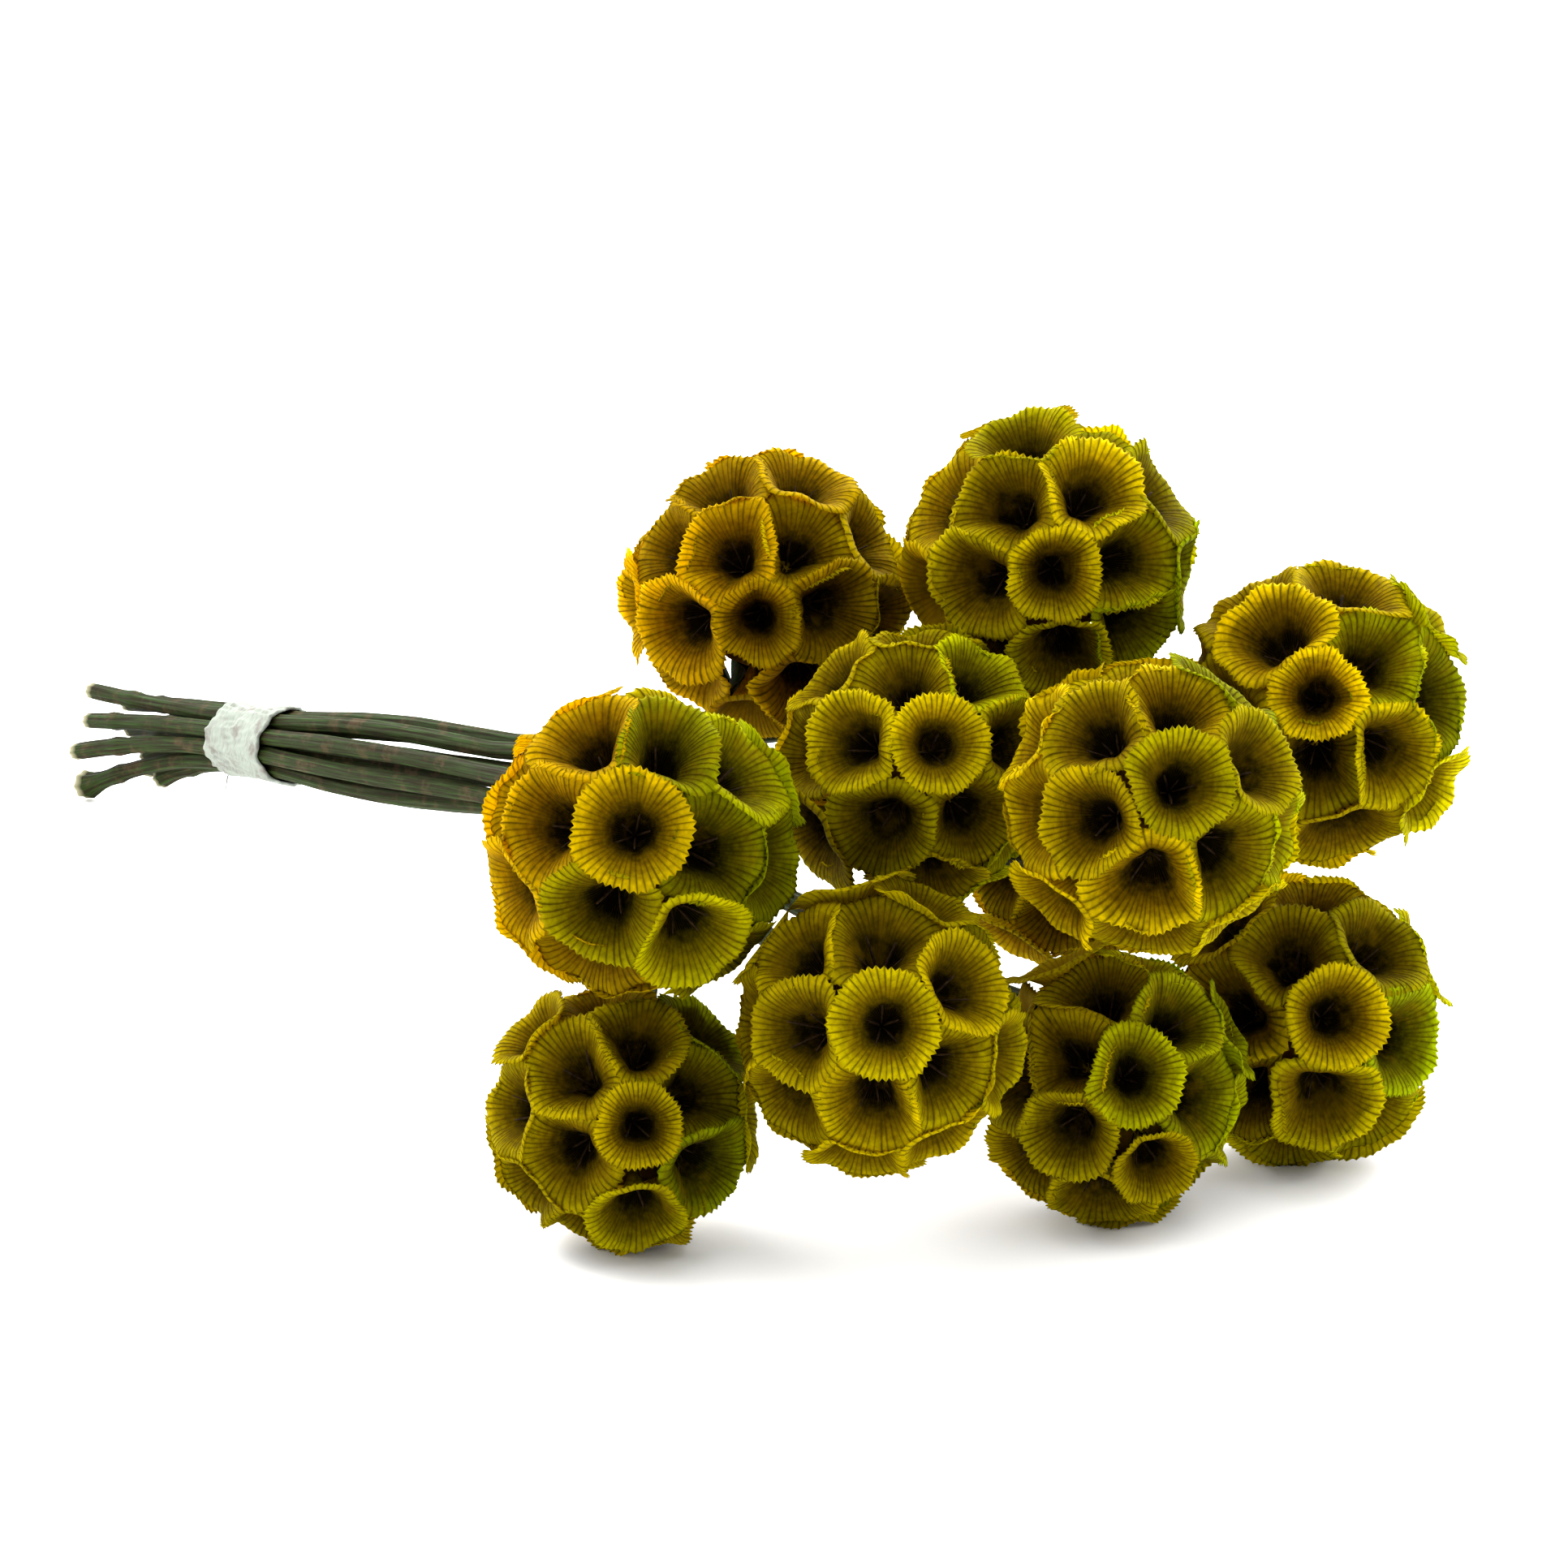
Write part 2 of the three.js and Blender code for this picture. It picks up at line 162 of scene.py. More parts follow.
# Where the cups and stalks lie, as the solids have them: in metres, or in head radii
STALK_MEETS = 0.9
SITES = 28
SPOTS = 500
PUSHES = 60
PUSH = 0.004
PIT_REACH = 0.78
SEEN_LIMIT = 0.97
OUTER_PLACE = 0.0056
INNER_PLACE = 0.00185
CONTACT_GAP = 0.0003
FLOOR_LIFT = 0.0001
BULGE = 0.36
BULGE_START = 0.09
BULGE_RATE = 3
SWAY_PEAK = 17.63

# Stalks: in metres, or as shares of a stalk's or a head's radius
STALK_TOP = 0.58
STALK_RADIUS = 0.0018
JOINT_PLACE = (0.011, 0.019)
JOINT_LENGTH = 0.0022
JOINT_SWELL = 0.22
KNOB_LENGTH = 0.0048
NECK_SWELL = 0.75
CUT_LENGTH = 0.0006
CUT_COLOUR = (0.3, 0.28, 0.17)
BLOTCH_COLOUR = (0.07, 0.04, 0.02)
BRISTLE_SHINE = (0.035, 0.018, 0.005)

# The tape, in metres
TAPE_COLUMNS = 160
TAPE_ROWS = 44
TAPE_INSIDE = 0.0002
CREASES = 26
CREASE_HEIGHT = (0.00001, 0.00005)
OVERLAP_STEP = 0.00022
WAIST = 0.0005

# How cups stand among the ones beside them; angles are in radians
NEAR_COUNT = 8
NEAR_ANGLE = 1.25
SWAPS = 220
PROUDEST = 1.6

# A cup: reaches are angles seen from its head's middle, heights are in head radii
RIBS = 48
RIB_JITTER = 0.22
RIB_WEIGHT = (0.8, 1.0)
INNER_ROWS = (1.0, 0.93, 0.84, 0.74, 0.63, 0.52, 0.41, 0.31, 0.21)
OUTER_ROWS = (0.21, 0.36, 0.54, 0.72, 0.9, 1.0)
CUP_HEIGHT = 0.998
PROUD_HEIGHT = 1.07
PRIDE_HEIGHT = 0.045
STRAY_HEIGHT = 1.1
WITHERED_DROP = 0.06
WITHERED_START = 0.3
WITHERED_RANGE = 0.5
CUP_DEPTH = 0.44
THROAT_SINK = 0.01
NECK_DROP = 0.046
NECK_REACH = 0.12
ROOT_SHARE = 0.432
FLOOR_REACH = 0.05
CORE_SHARE = 0.5184
CORE_REACH = 0.3
CUP_REACH = (0.46, 0.33)
REACH_SPREAD = (0.88, 1.12)
SPARE_REACH = 1.3
OVERLAP = 0.008
OVER = 0.9
UNDER = 0.12
LEAST_FACING = 0.05
SHARPNESS = (26, 10)
RUFFLE = (0.002, 0.008)
WAVE = (0.004, 0.014)
FOLD = 0.22
CROWDED_REACH = 0.42
FLARE = (1.35, 1.65)
DRIFT = 0.022
CURL_START = 0.8
CURL_DROP = 0.02
GREEN_TURN = 0.6
GREEN_SPREAD = 0.35
SIDEWAYS = np.array((math.cos(VIEW_TURN), math.sin(VIEW_TURN), 0))
MEMBRANE_GLOW = 0.62

# The stage, in metres
FLOOR_HALF = 4
LIGHT_SIZE = 0.7
LIGHT_AIM = (0.08, 0, 0.05)
LEFT_SHARE = 0.45

SLOTS = {"gold": "cups_gold", "olive": "cups_olive", "green": "cups_green"}


def unit(vector):
    return vector / norm(vector)


MEAN_HEAD = np.mean([head.centre for head in HEADS], axis=0)
RUN = MEAN_HEAD - TIE_CENTRE
ALONG = unit(RUN)
ACROSS = unit(np.cross((0, 0, 1), ALONG))
ABOVE = np.cross(ALONG, ACROSS)


def place_in_tie(head):
    angle = math.radians(head.place)
    radius = INNER_PLACE if head.inner else OUTER_PLACE
    return radius * (math.cos(angle) * ACROSS + math.sin(angle) * ABOVE)


def main_line(head, s):
    """Points on a stalk's line, from its place in the tie at s = 0 to its head's middle at 1."""
    s = np.atleast_1d(s)[:, None]
    swell = 1 + BULGE * np.sin(np.pi * np.clip(BULGE_RATE * (s - BULGE_START), 0, 1))
    fanned = (head.centre - MEAN_HEAD) * s**head.fan
    swayed = np.array(head.sway) * SWAY_PEAK * s**6 * (1 - s)
    return TIE_CENTRE + RUN * s + place_in_tie(head) * swell * (1 - s * s) + fanned + swayed


def end_line(head, w):
    """Points on a stalk's line from its cut end at w = 0 to the tie at 1."""
    w = np.atleast_1d(w)[:, None]
    tied = TIE_CENTRE + place_in_tie(head)
    cut = np.array(head.cut)
    bend = tied - ALONG * 0.5 * norm(tied - cut)
    return (1 - w) ** 2 * cut + 2 * w * (1 - w) * bend + w * w * tied


def share_at(head, distance):
    """How far along its line a stalk is at this distance from its head's middle."""
    near, far = 1.0, 0.75
    for _ in range(40):
        s = (near + far) / 2
        if norm(main_line(head, s)[0] - head.centre) < distance:
            near = s
        else:
            far = s
    return far


def stalk_side(head):
    s = share_at(head, head.radius * STALK_MEETS)
    return unit(main_line(head, s)[0] - head.centre)


def from_eye(head, x, y):
    """The direction of a cup whose throat shows this far right and up of the head's middle."""
    to_eye = unit(EYE - head.centre)
    right = unit(np.cross((0, 0, 1), to_eye))
    up = np.cross(to_eye, right)
    size = math.hypot(x, y)
    lean = min(size / PIT_REACH, SEEN_LIMIT)
    return to_eye * math.sqrt(1 - lean * lean) + lean * (right * x + up * y) / size


def cup_sites(head):
    """Directions of a head's cups: its stalk's, those that show, then the rest pushed apart."""
    found = [stalk_side(head)] + [from_eye(head, x, y) for x, y in head.cups]
    fixed = len(found)
    step = np.arange(SPOTS)
    z = 1 - (2 * step + 1) / SPOTS
    turn = step * math.pi * (3 - math.sqrt(5))
    flat = np.sqrt(1 - z * z)
    spots = np.stack((flat * np.cos(turn), flat * np.sin(turn), z), axis=1)
    while len(found) < SITES:
        found.append(spots[np.argmin((spots @ np.array(found).T).max(axis=1))].copy())
    sites = np.array(found)
    for _ in range(PUSHES):
        for i in range(fixed, SITES):
            away = sites[i] - np.delete(sites, i, axis=0)
            push = (away / norm(away, axis=1)[:, None] ** 5).sum(axis=0)
            sites[i] = unit(sites[i] + PUSH * push)
    return sites


def axes_about(direction):
    """Two directions across this one, turning left from the first to the second."""
    helper = (0, 0, 1) if abs(direction[2]) < 0.9 else (1, 0, 0)
    side = unit(np.cross(direction, helper))
    return side, np.cross(direction, side)


class Skin:
    """Gathers rings of points, the faces between them and a few values at each point."""

    def __init__(self, values):
        self.points = []
        self.faces = []
        self.values = {name: [] for name in values}
        self.count = 0

    def add(self, points, **values):
        points = np.atleast_2d(points)
        self.points.append(points)
        for name, gathered in self.values.items():
            gathered.append(np.broadcast_to(np.asarray(values.get(name, 0.0), float), len(points)))
        first = self.count
        self.count += len(points)
        return np.arange(first, self.count)

    def bands(self, rings):
        for lower, upper in zip(rings, rings[1:]):
            quads = (lower, np.roll(lower, -1), np.roll(upper, -1), upper)
            self.faces += np.stack(quads, axis=1).tolist()

    def fan(self, ring, tip, **values):
        tip = self.add(tip, **values)[0]
        spread = (ring, np.roll(ring, -1), np.full(len(ring), tip))
        self.faces += np.stack(spread, axis=1).tolist()

    def tube(self, rings, start, end, **values):
        """Bands between the rings, with a point that closes each end."""
        self.bands(rings)
        self.fan(rings[0][::-1], start, **values)
        self.fan(rings[-1], end, **values)

    def make(self, name, material=None):
        mesh = bpy.data.meshes.new(name)
        mesh.from_pydata(np.concatenate(self.points).tolist(), [], self.faces)
        for key, gathered in self.values.items():
            layer = mesh.attributes.new(key, "FLOAT", "POINT")
            layer.data.foreach_set("value", np.concatenate(gathered).astype(np.float32))
        mesh.polygons.foreach_set("use_smooth", [True] * len(mesh.polygons))
        if material:
            mesh.materials.append(material)
        mesh.validate()
        return put(name, mesh)


def put(name, data):
    """A new object in the scene."""
    made = bpy.data.objects.new(name, data)
    bpy.context.scene.collection.objects.link(made)
    return made


def round_turns(count, jitter=0):
    return 2 * np.pi * (np.arange(count) + jitter) / count


def settle(piece, slot, *nodes):
    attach(piece, "root")
    if nodes:
        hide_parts(*nodes)


# Cups


def contacts(head):
    """Where a head is pressed flat: by the other heads and by what the bunch lies on."""
    flats = [(np.array((0.0, 0.0, -1.0)), head.centre[2] - FLOOR_LIFT)]
    for other in HEADS:
        if other is head:
            continue
        away = np.subtract(other.centre, head.centre)
        gap = norm(away)
        reach = (gap**2 + head.radius**2 - other.radius**2) / (2 * gap)
        flats.append((away / gap, reach - CONTACT_GAP / 2))
    return flats


def press(head, points, flats):
    """Draws the points that would pass a flat back towards the head's middle."""
    spread = points - head.centre
    for facing, reach in flats:
        past = spread @ facing
        spread = spread * np.where(past > reach, reach / np.maximum(past, 1e-9), 1.0)[:, None]
    return spread + head.centre


def neighbours(sites):
    """For each cup the cups beside it and the angles between them."""
    gaps = np.arccos(np.clip(sites @ sites.T, -1, 1))
    return [[(j, row[j]) for j in np.argsort(row)[1:NEAR_COUNT + 1] if row[j] < NEAR_ANGLE]
            for row in gaps]


def prides(sites, rng):
    """How far each cup stands out, from -1 to 1, as unlike the cups beside it as can be."""
    pride = rng.permutation(np.linspace(-1, 1, len(sites)))
    beside = neighbours(sites)

    def contrast():
        return sum(abs(pride[i] - pride[j]) / gap for i, near in enumerate(beside)
                   for j, gap in near)

    best = contrast()
    for _ in range(SWAPS):
        a, b = rng.integers(2, len(sites), 2)
        pride[[a, b]] = pride[[b, a]]
        now = contrast()
        if now >= best:
            best = now
        else:
            pride[[a, b]] = pride[[b, a]]
    pride[1] = PROUDEST
    return pride


def rim_reach(i, sites, side, front, turn, heights, wanted, beside, sharpness):
    """How far a cup's rim reaches each way: a round rim, pressed where it meets others.

    Where one rim stands higher than the next, it reaches on over it, and the lower one is
    tucked a little under its flare.
    """
    widest = wanted[i] * (1 if i == 1 else SPARE_REACH)
    crowd = widest**-sharpness * np.ones_like(turn)
    for j, gap in beside[i]:
        rise = heights[i] - heights[j]
        half = gap * wanted[i] / (wanted[i] + wanted[j]) + max(OVER * rise, -UNDER * rise)
        other = sites[j]
        facing = np.cos(turn - math.atan2(other @ front, other @ side))
        meets = np.arctan(math.tan(half) / np.maximum(facing, LEAST_FACING))
        crowd += np.where(facing > LEAST_FACING, meets**-sharpness, 0)
    return crowd ** (-1 / sharpness)


def ripple(rng, turn, orders, size):
    """Waves of these orders round a rim, each of a random size and start."""
    return sum(rng.uniform(*size) * np.cos(order * turn + rng.uniform(0, 6.3)) for order in orders)


def cup(skin, head, i, sites, pride, heights, wanted, beside, flats, wither, rng, sizes):
    """One papery funnel with a pleated membrane, a toothed rim and a deep throat that its material
    darkens with painted shade.
    """
    site = sites[i]
    side, front = axes_about(site)
    columns = 2 * RIBS
    turn = round_turns(columns, rng.uniform(-RIB_JITTER, RIB_JITTER, columns))
    rib = (np.arange(columns) % 2 == 0) * rng.uniform(*RIB_WEIGHT, columns)
    sharpness = np.interp(pride[i], (-1, 1), SHARPNESS)
    reach = rim_reach(i, sites, side, front, turn, heights, wanted, beside, sharpness)
    reach = reach + OVERLAP + head.crumple * ripple(rng, turn, (3, 4, 6, 9), RUFFLE)
    height = heights[i] - WITHERED_DROP * wither
    waves = head.crumple * ripple(rng, turn, (2, 3, 5, 8), WAVE)
    pressed = np.clip(1 - reach / CROWDED_REACH, 0, 0.25)
    rim_height = height + waves + FOLD * head.crumple * pressed
    flare = rng.uniform(*FLARE)
    drift = rng.normal(0, DRIFT, 2)
    heading = np.stack((np.cos(turn), np.sin(turn)), axis=1)
    green = head.green + GREEN_TURN * (site @ SIDEWAYS) + rng.uniform(-GREEN_SPREAD, GREEN_SPREAD)
    tone = rng.uniform(0, 1)
    marks = dict(tone=tone, green=green, wither=wither)
    tooth, pleat = sizes.tooth / head.radius, sizes.pleat / head.radius

    def ring(share, drop, outer):
        curled = max(0.0, (share - CURL_START) / (1 - CURL_START)) ** 2
        across = reach * share + curled * tooth * np.where(rib > 0, 1.0, -0.7)
        offset = heading * across[:, None] + drift * (1 - share)
        size = norm(offset, axis=1)[:, None]
        tangent = side * offset[:, :1] + front * offset[:, 1:]
        direction = site * np.cos(size) + tangent * np.sin(size) / size
        sunk = CUP_DEPTH * ((1 - share) / (1 - INNER_ROWS[-1])) ** flare
        radial = height + (rim_height - height) * share**3 - sunk + pleat * share * (2 * rib - 1)
        radial += curled * (rib * 0.5 * tooth - CURL_DROP)
        points = direction * (radial * head.radius - drop)[:, None] + head.centre
        points = press(head, points, flats) - MIDDLE
        return skin.add(points, reach=share, rib=rib, outside=outer, **marks)

    rows = [ring(NECK_REACH, NECK_DROP * head.radius, 1.0)]
    rows += [ring(share, sizes.membrane * (3 - 2 * share), 1.0) for share in OUTER_ROWS]
    rows += [ring(share, 0.0, 0.0) for share in INNER_ROWS]
    middle = head.centre - MIDDLE
    floor = site * (height - CUP_DEPTH - THROAT_SINK) * head.radius + middle
    skin.fan(rows[0][::-1], site * ROOT_SHARE * head.radius + middle, outside=1.0, **marks)
    skin.bands(rows)
    skin.fan(rows[-1], floor, reach=FLOOR_REACH, **marks)
    return site, floor


def core(skin, head):
    """The dark seed base that the cups stand on, a closed ball behind them."""
    middle = head.centre - MIDDLE
    radius = CORE_SHARE * head.radius
    turn = round_turns(24)
    marks = dict(reach=CORE_REACH, wither=1.0)
    rings = []
    for lean in np.linspace(0, np.pi, 12)[-2:0:-1]:
        across, up = radius * np.sin(lean), radius * np.cos(lean)
        circle = (across * np.cos(turn), across * np.sin(turn), np.full_like(turn, up))
        rings.append(skin.add(np.stack(circle, axis=1) + middle, **marks))
    skin.tube(rings, middle - (0, 0, radius), middle + (0, 0, radius), **marks)


def head_piece(number, head, material, sizes):
    """All the cups of one head on its core; gives the piece and its throats."""
    rng = np.random.default_rng(100 + number)
    sites = cup_sites(head)
    pride = prides(sites, rng)
    heights = CUP_HEIGHT + PRIDE_HEIGHT * pride
    heights[1] = PROUD_HEIGHT
    wanted = np.interp(pride, (-1, 1), CUP_REACH) * rng.uniform(*REACH_SPREAD, SITES)
    wanted[1] = head.proud
    if head.stray:
        heights[np.argmax(sites @ from_eye(head, *head.stray))] = STRAY_HEIGHT
    beside = neighbours(sites)
    flats = contacts(head)
    skin = Skin(("reach", "rib", "outside", "tone", "green", "wither"))
    core(skin, head)
    found = []
    for i in range(1, SITES):
        wither = (sites[i] @ sites[0] - WITHERED_START) / WITHERED_RANGE
        wither = float(np.clip(wither, 0, 1))
        found.append(
            cup(skin, head, i, sites, pride, heights, wanted, beside, flats, wither, rng, sizes))
    return skin.make(f"head_{number:02d}_cups", material), found


# Node building


def add(tree, kind, inputs=None, **settings):
    node = tree.nodes.new(kind)
    for name, value in settings.items():
        setattr(node, name, value)
    for key, value in (inputs or {}).items():
        socket = node.inputs[key]
        if isinstance(value, bpy.types.NodeSocket):
            tree.links.new(value, socket)
        else:
            socket.default_value = value
    return node


def result(tree, kind, inputs=None, **settings):
    """The first output of a new node."""
    return add(tree, kind, inputs, **settings).outputs[0]


def attribute(tree, name):
    return add(tree, "ShaderNodeAttribute", attribute_name=name).outputs["Fac"]


def calc(tree, operation, first, second=0.0, clamp=False):
    inputs = {0: first, 1: second}
    return result(tree, "ShaderNodeMath", inputs, operation=operation, use_clamp=clamp)


def ramp(tree, value, low, high, to_low=0.0, to_high=1.0):
    inputs = {0: value, 1: low, 2: high, 3: to_low, 4: to_high}
    return result(tree, "ShaderNodeMapRange", inputs, interpolation_type="SMOOTHSTEP")


def blend(tree, factor, first, second, mode="MIX"):
    inputs = {0: factor, 6: first, 7: second}
    return add(tree, "ShaderNodeMix", inputs, data_type="RGBA", blend_type=mode).outputs[2]


def noise(tree, vector, scale, detail=3.0, roughness=0.5):
    inputs = {"Vector": vector, "Scale": scale, "Detail": detail, "Roughness": roughness}
    return add(tree, "ShaderNodeTexNoise", inputs).outputs["Fac"]


def object_place(tree, scale=(1, 1, 1)):
    found = add(tree, "ShaderNodeTexCoord").outputs["Object"]
    return result(tree, "ShaderNodeMapping", {"Vector": found, "Scale": scale})


def new_group(name, kind, inputs, outputs):
    """A node group with these sockets, their kinds by name; gives the group and its two ends."""
    group = bpy.data.node_groups.new(name, kind)
    for way, sockets in (("INPUT", inputs), ("OUTPUT", outputs)):
        for label, socket in sockets.items():
            group.interface.new_socket(label, in_out=way, socket_type=f"NodeSocket{socket}")
    return group, add(group, "NodeGroupInput").outputs, add(group, "NodeGroupOutput").inputs


def dry_blotches():
    """Uneven drying: a slow change of tone and a few brown specks, for any plant surface."""
    name = "Dry Blotches"
    if name in bpy.data.node_groups:
        return bpy.data.node_groups[name]
    inputs = {"Colour": "Color", "Blotch Colour": "Color", "Amount": "Float", "Scale": "Float"}
    group, given, out = new_group(name, "ShaderNodeTree", inputs, {"Colour": "Color"})
    place = object_place(group)
    slow = noise(group, place, given["Scale"], 4.0, 0.6)
    specks = noise(group, place, 2600.0, 2.0, 0.7)
    specks = ramp(group, specks, 0.66, 0.78, 0, 0.5)
    mask = calc(group, "ADD", ramp(group, slow, 0.5, 0.72), specks)
    mask = calc(group, "MULTIPLY", mask, given["Amount"], clamp=True)
    group.links.new(blend(group, mask, given["Colour"], given["Blotch Colour"]), out["Colour"])
    return group


CUP_COLOURS = ("Rim Tone And Glow Colour", "Limb Colour", "Throat Shade Colour", "Rib Colour", "Back Colour",
               "Green Cast")


def ribbed_membrane():
    """A papery cup's colour from throat to rim, with painted shade in the throat and a painted
    glow on the rim, its dark ribs and the height they make.
    """
    name = "Ribbed Membrane"
    if name in bpy.data.node_groups:
        return bpy.data.node_groups[name]
    inputs = dict.fromkeys(CUP_COLOURS, "Color")
    outputs = {"Colour": "Color", "Height": "Float", "Roughness": "Float"}
    group, given, out = new_group(name, "ShaderNodeTree", inputs, outputs)
    reach = attribute(group, "reach")
    fine = noise(group, object_place(group), 900.0, 4.0, 0.65)
    uneven = calc(group, "MULTIPLY", calc(group, "SUBTRACT", fine, 0.5), 0.22)
    edge = calc(group, "ADD", reach, uneven)
    rim, limb, throat, dark, bare, cast = (given[label] for label in CUP_COLOURS)
    # Painted shade: the near-black throat colour darkens the bottom of each cup, where shade
    # falls.
    inside = blend(group, ramp(group, edge, 0.38, 0.72), throat, limb)
    # The bright rim colour is partly the rims' paler tone and partly a painted glow of back light
    # shining through the rims.
    inside = blend(group, ramp(group, edge, 0.64, 1.0, 0.0, 0.6), inside, rim)
    # The outsides run to the same rim colour, with its painted glow, towards the rim.
    back = blend(group, ramp(group, edge, 0.0, 0.45), bare, rim)
    outside = attribute(group, "outside")
    colour = blend(group, outside, inside, back)
    green = ramp(group, attribute(group, "green"), 0.1, 1.3)
    colour = blend(group, green, colour, cast, "MULTIPLY")
    start = ramp(group, reach, 0.25, 0.95, 0.1, 0.45)
    line = ramp(group, attribute(group, "rib"), start, 1.0)
    strength = ramp(group, reach, 0.45, 0.85, 0.35, 0.85)
    strength = calc(group, "MULTIPLY", strength, ramp(group, outside, 0.0, 1.0, 1.0, 0.75))
    colour = blend(group, calc(group, "MULTIPLY", line, strength), colour, dark)
    tone = ramp(group, attribute(group, "tone"), 0.0, 1.0, 0.72, 1.12)
    tone = calc(group, "MULTIPLY", tone, ramp(group, fine, 0.3, 0.7, 0.84, 1.14))
    tint = result(group, "ShaderNodeHueSaturation", {"Value": tone, "Color": colour})
    withered = calc(group, "MULTIPLY", attribute(group, "wither"), 0.6)
    height = calc(group, "SUBTRACT", line, calc(group, "MULTIPLY", fine, 0.5))
    group.links.new(blend(group, withered, tint, bare), out["Colour"])
    group.links.new(height, out["Height"])
    group.links.new(ramp(group, fine, 0.2, 0.8, 0.62, 0.9), out["Roughness"])
    return group


def new_material(name):
    material = bpy.data.materials.new(name)
    material.use_nodes = True
    material.node_tree.nodes.clear()
    return material, material.node_tree


def coated(material, shader):
    add(material.node_tree, "ShaderNodeOutputMaterial", {"Surface": shader})
    return material


def dry(tree, colour, blotch, amount, scale):
    """This colour with uneven drying laid over it."""
    inputs = {"Colour": colour, "Blotch Colour": (*blotch, 1), "Amount": amount, "Scale": scale}
    return add(tree, "ShaderNodeGroup", inputs, node_tree=dry_blotches()).outputs["Colour"]


def bump(tree, height, strength, distance):
    inputs = {"Height": height, "Strength": strength, "Distance": distance}
    return result(tree, "ShaderNodeBump", inputs)


def coat(tree, colour, roughness, gloss, **others):
    """A Principled shader of a dry surface with very little gloss."""
    inputs = {"Base Color": colour, "Roughness": roughness, "Specular IOR Level": gloss, **others}
    return result(tree, "ShaderNodeBsdfPrincipled", inputs)


def membrane_material(tint, colours):
    """Papery membrane of one tint, which lets light through."""
    material, tree = new_material(f"Papery {tint.title()}")
    own = (getattr(colours, f"{tint}_rim"), getattr(colours, f"{tint}_limb"))
    shared = (colours.throat, colours.rib, colours.back, colours.green_cast)
    given = dict(zip(CUP_COLOURS, own + shared))
    inputs = {label: (*colour, 1) for label, colour in given.items()}
    membrane = add(tree, "ShaderNodeGroup", inputs, node_tree=ribbed_membrane()).outputs
    colour = dry(tree, membrane["Colour"], given["Back Colour"], 0.35, 160.0)
    relief = bump(tree, membrane["Height"], 0.6, 0.00025)
    paper = coat(tree, colour, membrane["Roughness"], 0.02, Normal=relief)
    through = result(tree, "ShaderNodeBsdfTranslucent", {"Color": colour})
    mixed = result(tree, "ShaderNodeMixShader", {0: MEMBRANE_GLOW, 1: paper, 2: through})
    return coated(material, mixed)


def stalk_material(name, colours, cut):
    """Dry grey-green stalk: lengthwise streaks, brown blotches, painted shade in its grooves, and
    a cut face's own colour.
    """
    material, tree = new_material(name)
    own = (colours.stalk, colours.stalk_dark_streak_and_groove_shade, colours.stalk_light, cut)
    flesh, shade, light, cut = ((*colour, 1) for colour in own)
    turn = calc(tree, "MULTIPLY", attribute(tree, "round"), 2 * math.pi)
    along = calc(tree, "MULTIPLY", attribute(tree, "along"), 14.0)
    lane = result(tree, "ShaderNodeCombineXYZ", {
        0: calc(tree, "COSINE", turn), 1: calc(tree, "SINE", turn),
        2: calc(tree, "ADD", along, attribute(tree, "stalk")),
    })
    streak = noise(tree, lane, 5.0, 5.0, 0.6)
    slow = noise(tree, lane, 0.8, 2.0, 0.5)
    colour = blend(tree, ramp(tree, streak, 0.38, 0.62), shade, flesh)
    colour = blend(tree, ramp(tree, streak, 0.58, 0.8, 0.0, 0.8), colour, light)
    colour = blend(tree, ramp(tree, slow, 0.5, 0.75, 0.0, 0.65), colour, shade)
    # Painted shade: the grooves between the ridges are darkened with the dark streak colour.
    colour = blend(tree, attribute(tree, "groove"), colour, shade)
    colour = dry(tree, colour, BLOTCH_COLOUR, 0.55, 210.0)
    face = blend(tree, attribute(tree, "cut_face"), colour, cut)
    rough = ramp(tree, streak, 0.2, 0.8, 0.85, 0.6)
    return coated(material, coat(tree, face, rough, 0.04, Normal=bump(tree, streak, 0.5, 0.0003)))


def bristle_material(colour):
    material, tree = new_material("Dark Bristle")
    grain = noise(tree, object_place(tree), 1500.0)
    shade = blend(tree, ramp(tree, grain, 0.35, 0.65), (*colour, 1), (*BRISTLE_SHINE, 1))
    return coated(material, coat(tree, shade, ramp(tree, grain, 0.2, 0.8, 0.6, 0.85), 0.1))


def tape_material(paper, mottle_and_crease_shade):
    """Crepe paper tape: fine creases across with painted shade in their troughs, and grey
    mottling.
    """
    material, tree = new_material("Crepe Tape")
    paper, mottle_and_crease_shade = (*paper, 1), (*mottle_and_crease_shade, 1)
    crepe = noise(tree, object_place(tree, (1700, 420, 420)), 1.0, 4.0, 0.6)
    stain = noise(tree, object_place(tree), 230.0, 4.0, 0.65)
    colour = blend(tree, ramp(tree, stain, 0.48, 0.7, 0.0, 0.8), paper, mottle_and_crease_shade)
    # Painted shade: the troughs of the crepe creases are darkened.
    colour = blend(tree, ramp(tree, crepe, 0.35, 0.6, 0.35, 0.0), colour, mottle_and_crease_shade)
    rough = ramp(tree, crepe, 0.2, 0.8, 0.95, 0.8)
    return coated(material, coat(tree, colour, rough, 0.05, Normal=bump(tree, crepe, 0.7, 0.0003)))


def floor_material(colour):
    material, tree = new_material("White Floor")
    grain = noise(tree, object_place(tree), 40.0, 2.0)
    return coated(material, coat(tree, (*colour, 1), ramp(tree, grain, 0.3, 0.7, 0.85, 0.95), 0.1))


# Geometry node trees


def shape_tree(name, inputs):
    """A geometry node tree with these inputs beside its geometry and material."""
    inputs = {"Geometry": "Geometry", **inputs, "Material": "Material"}
    return new_group(name, "GeometryNodeTree", inputs, {"Geometry": "Geometry"})


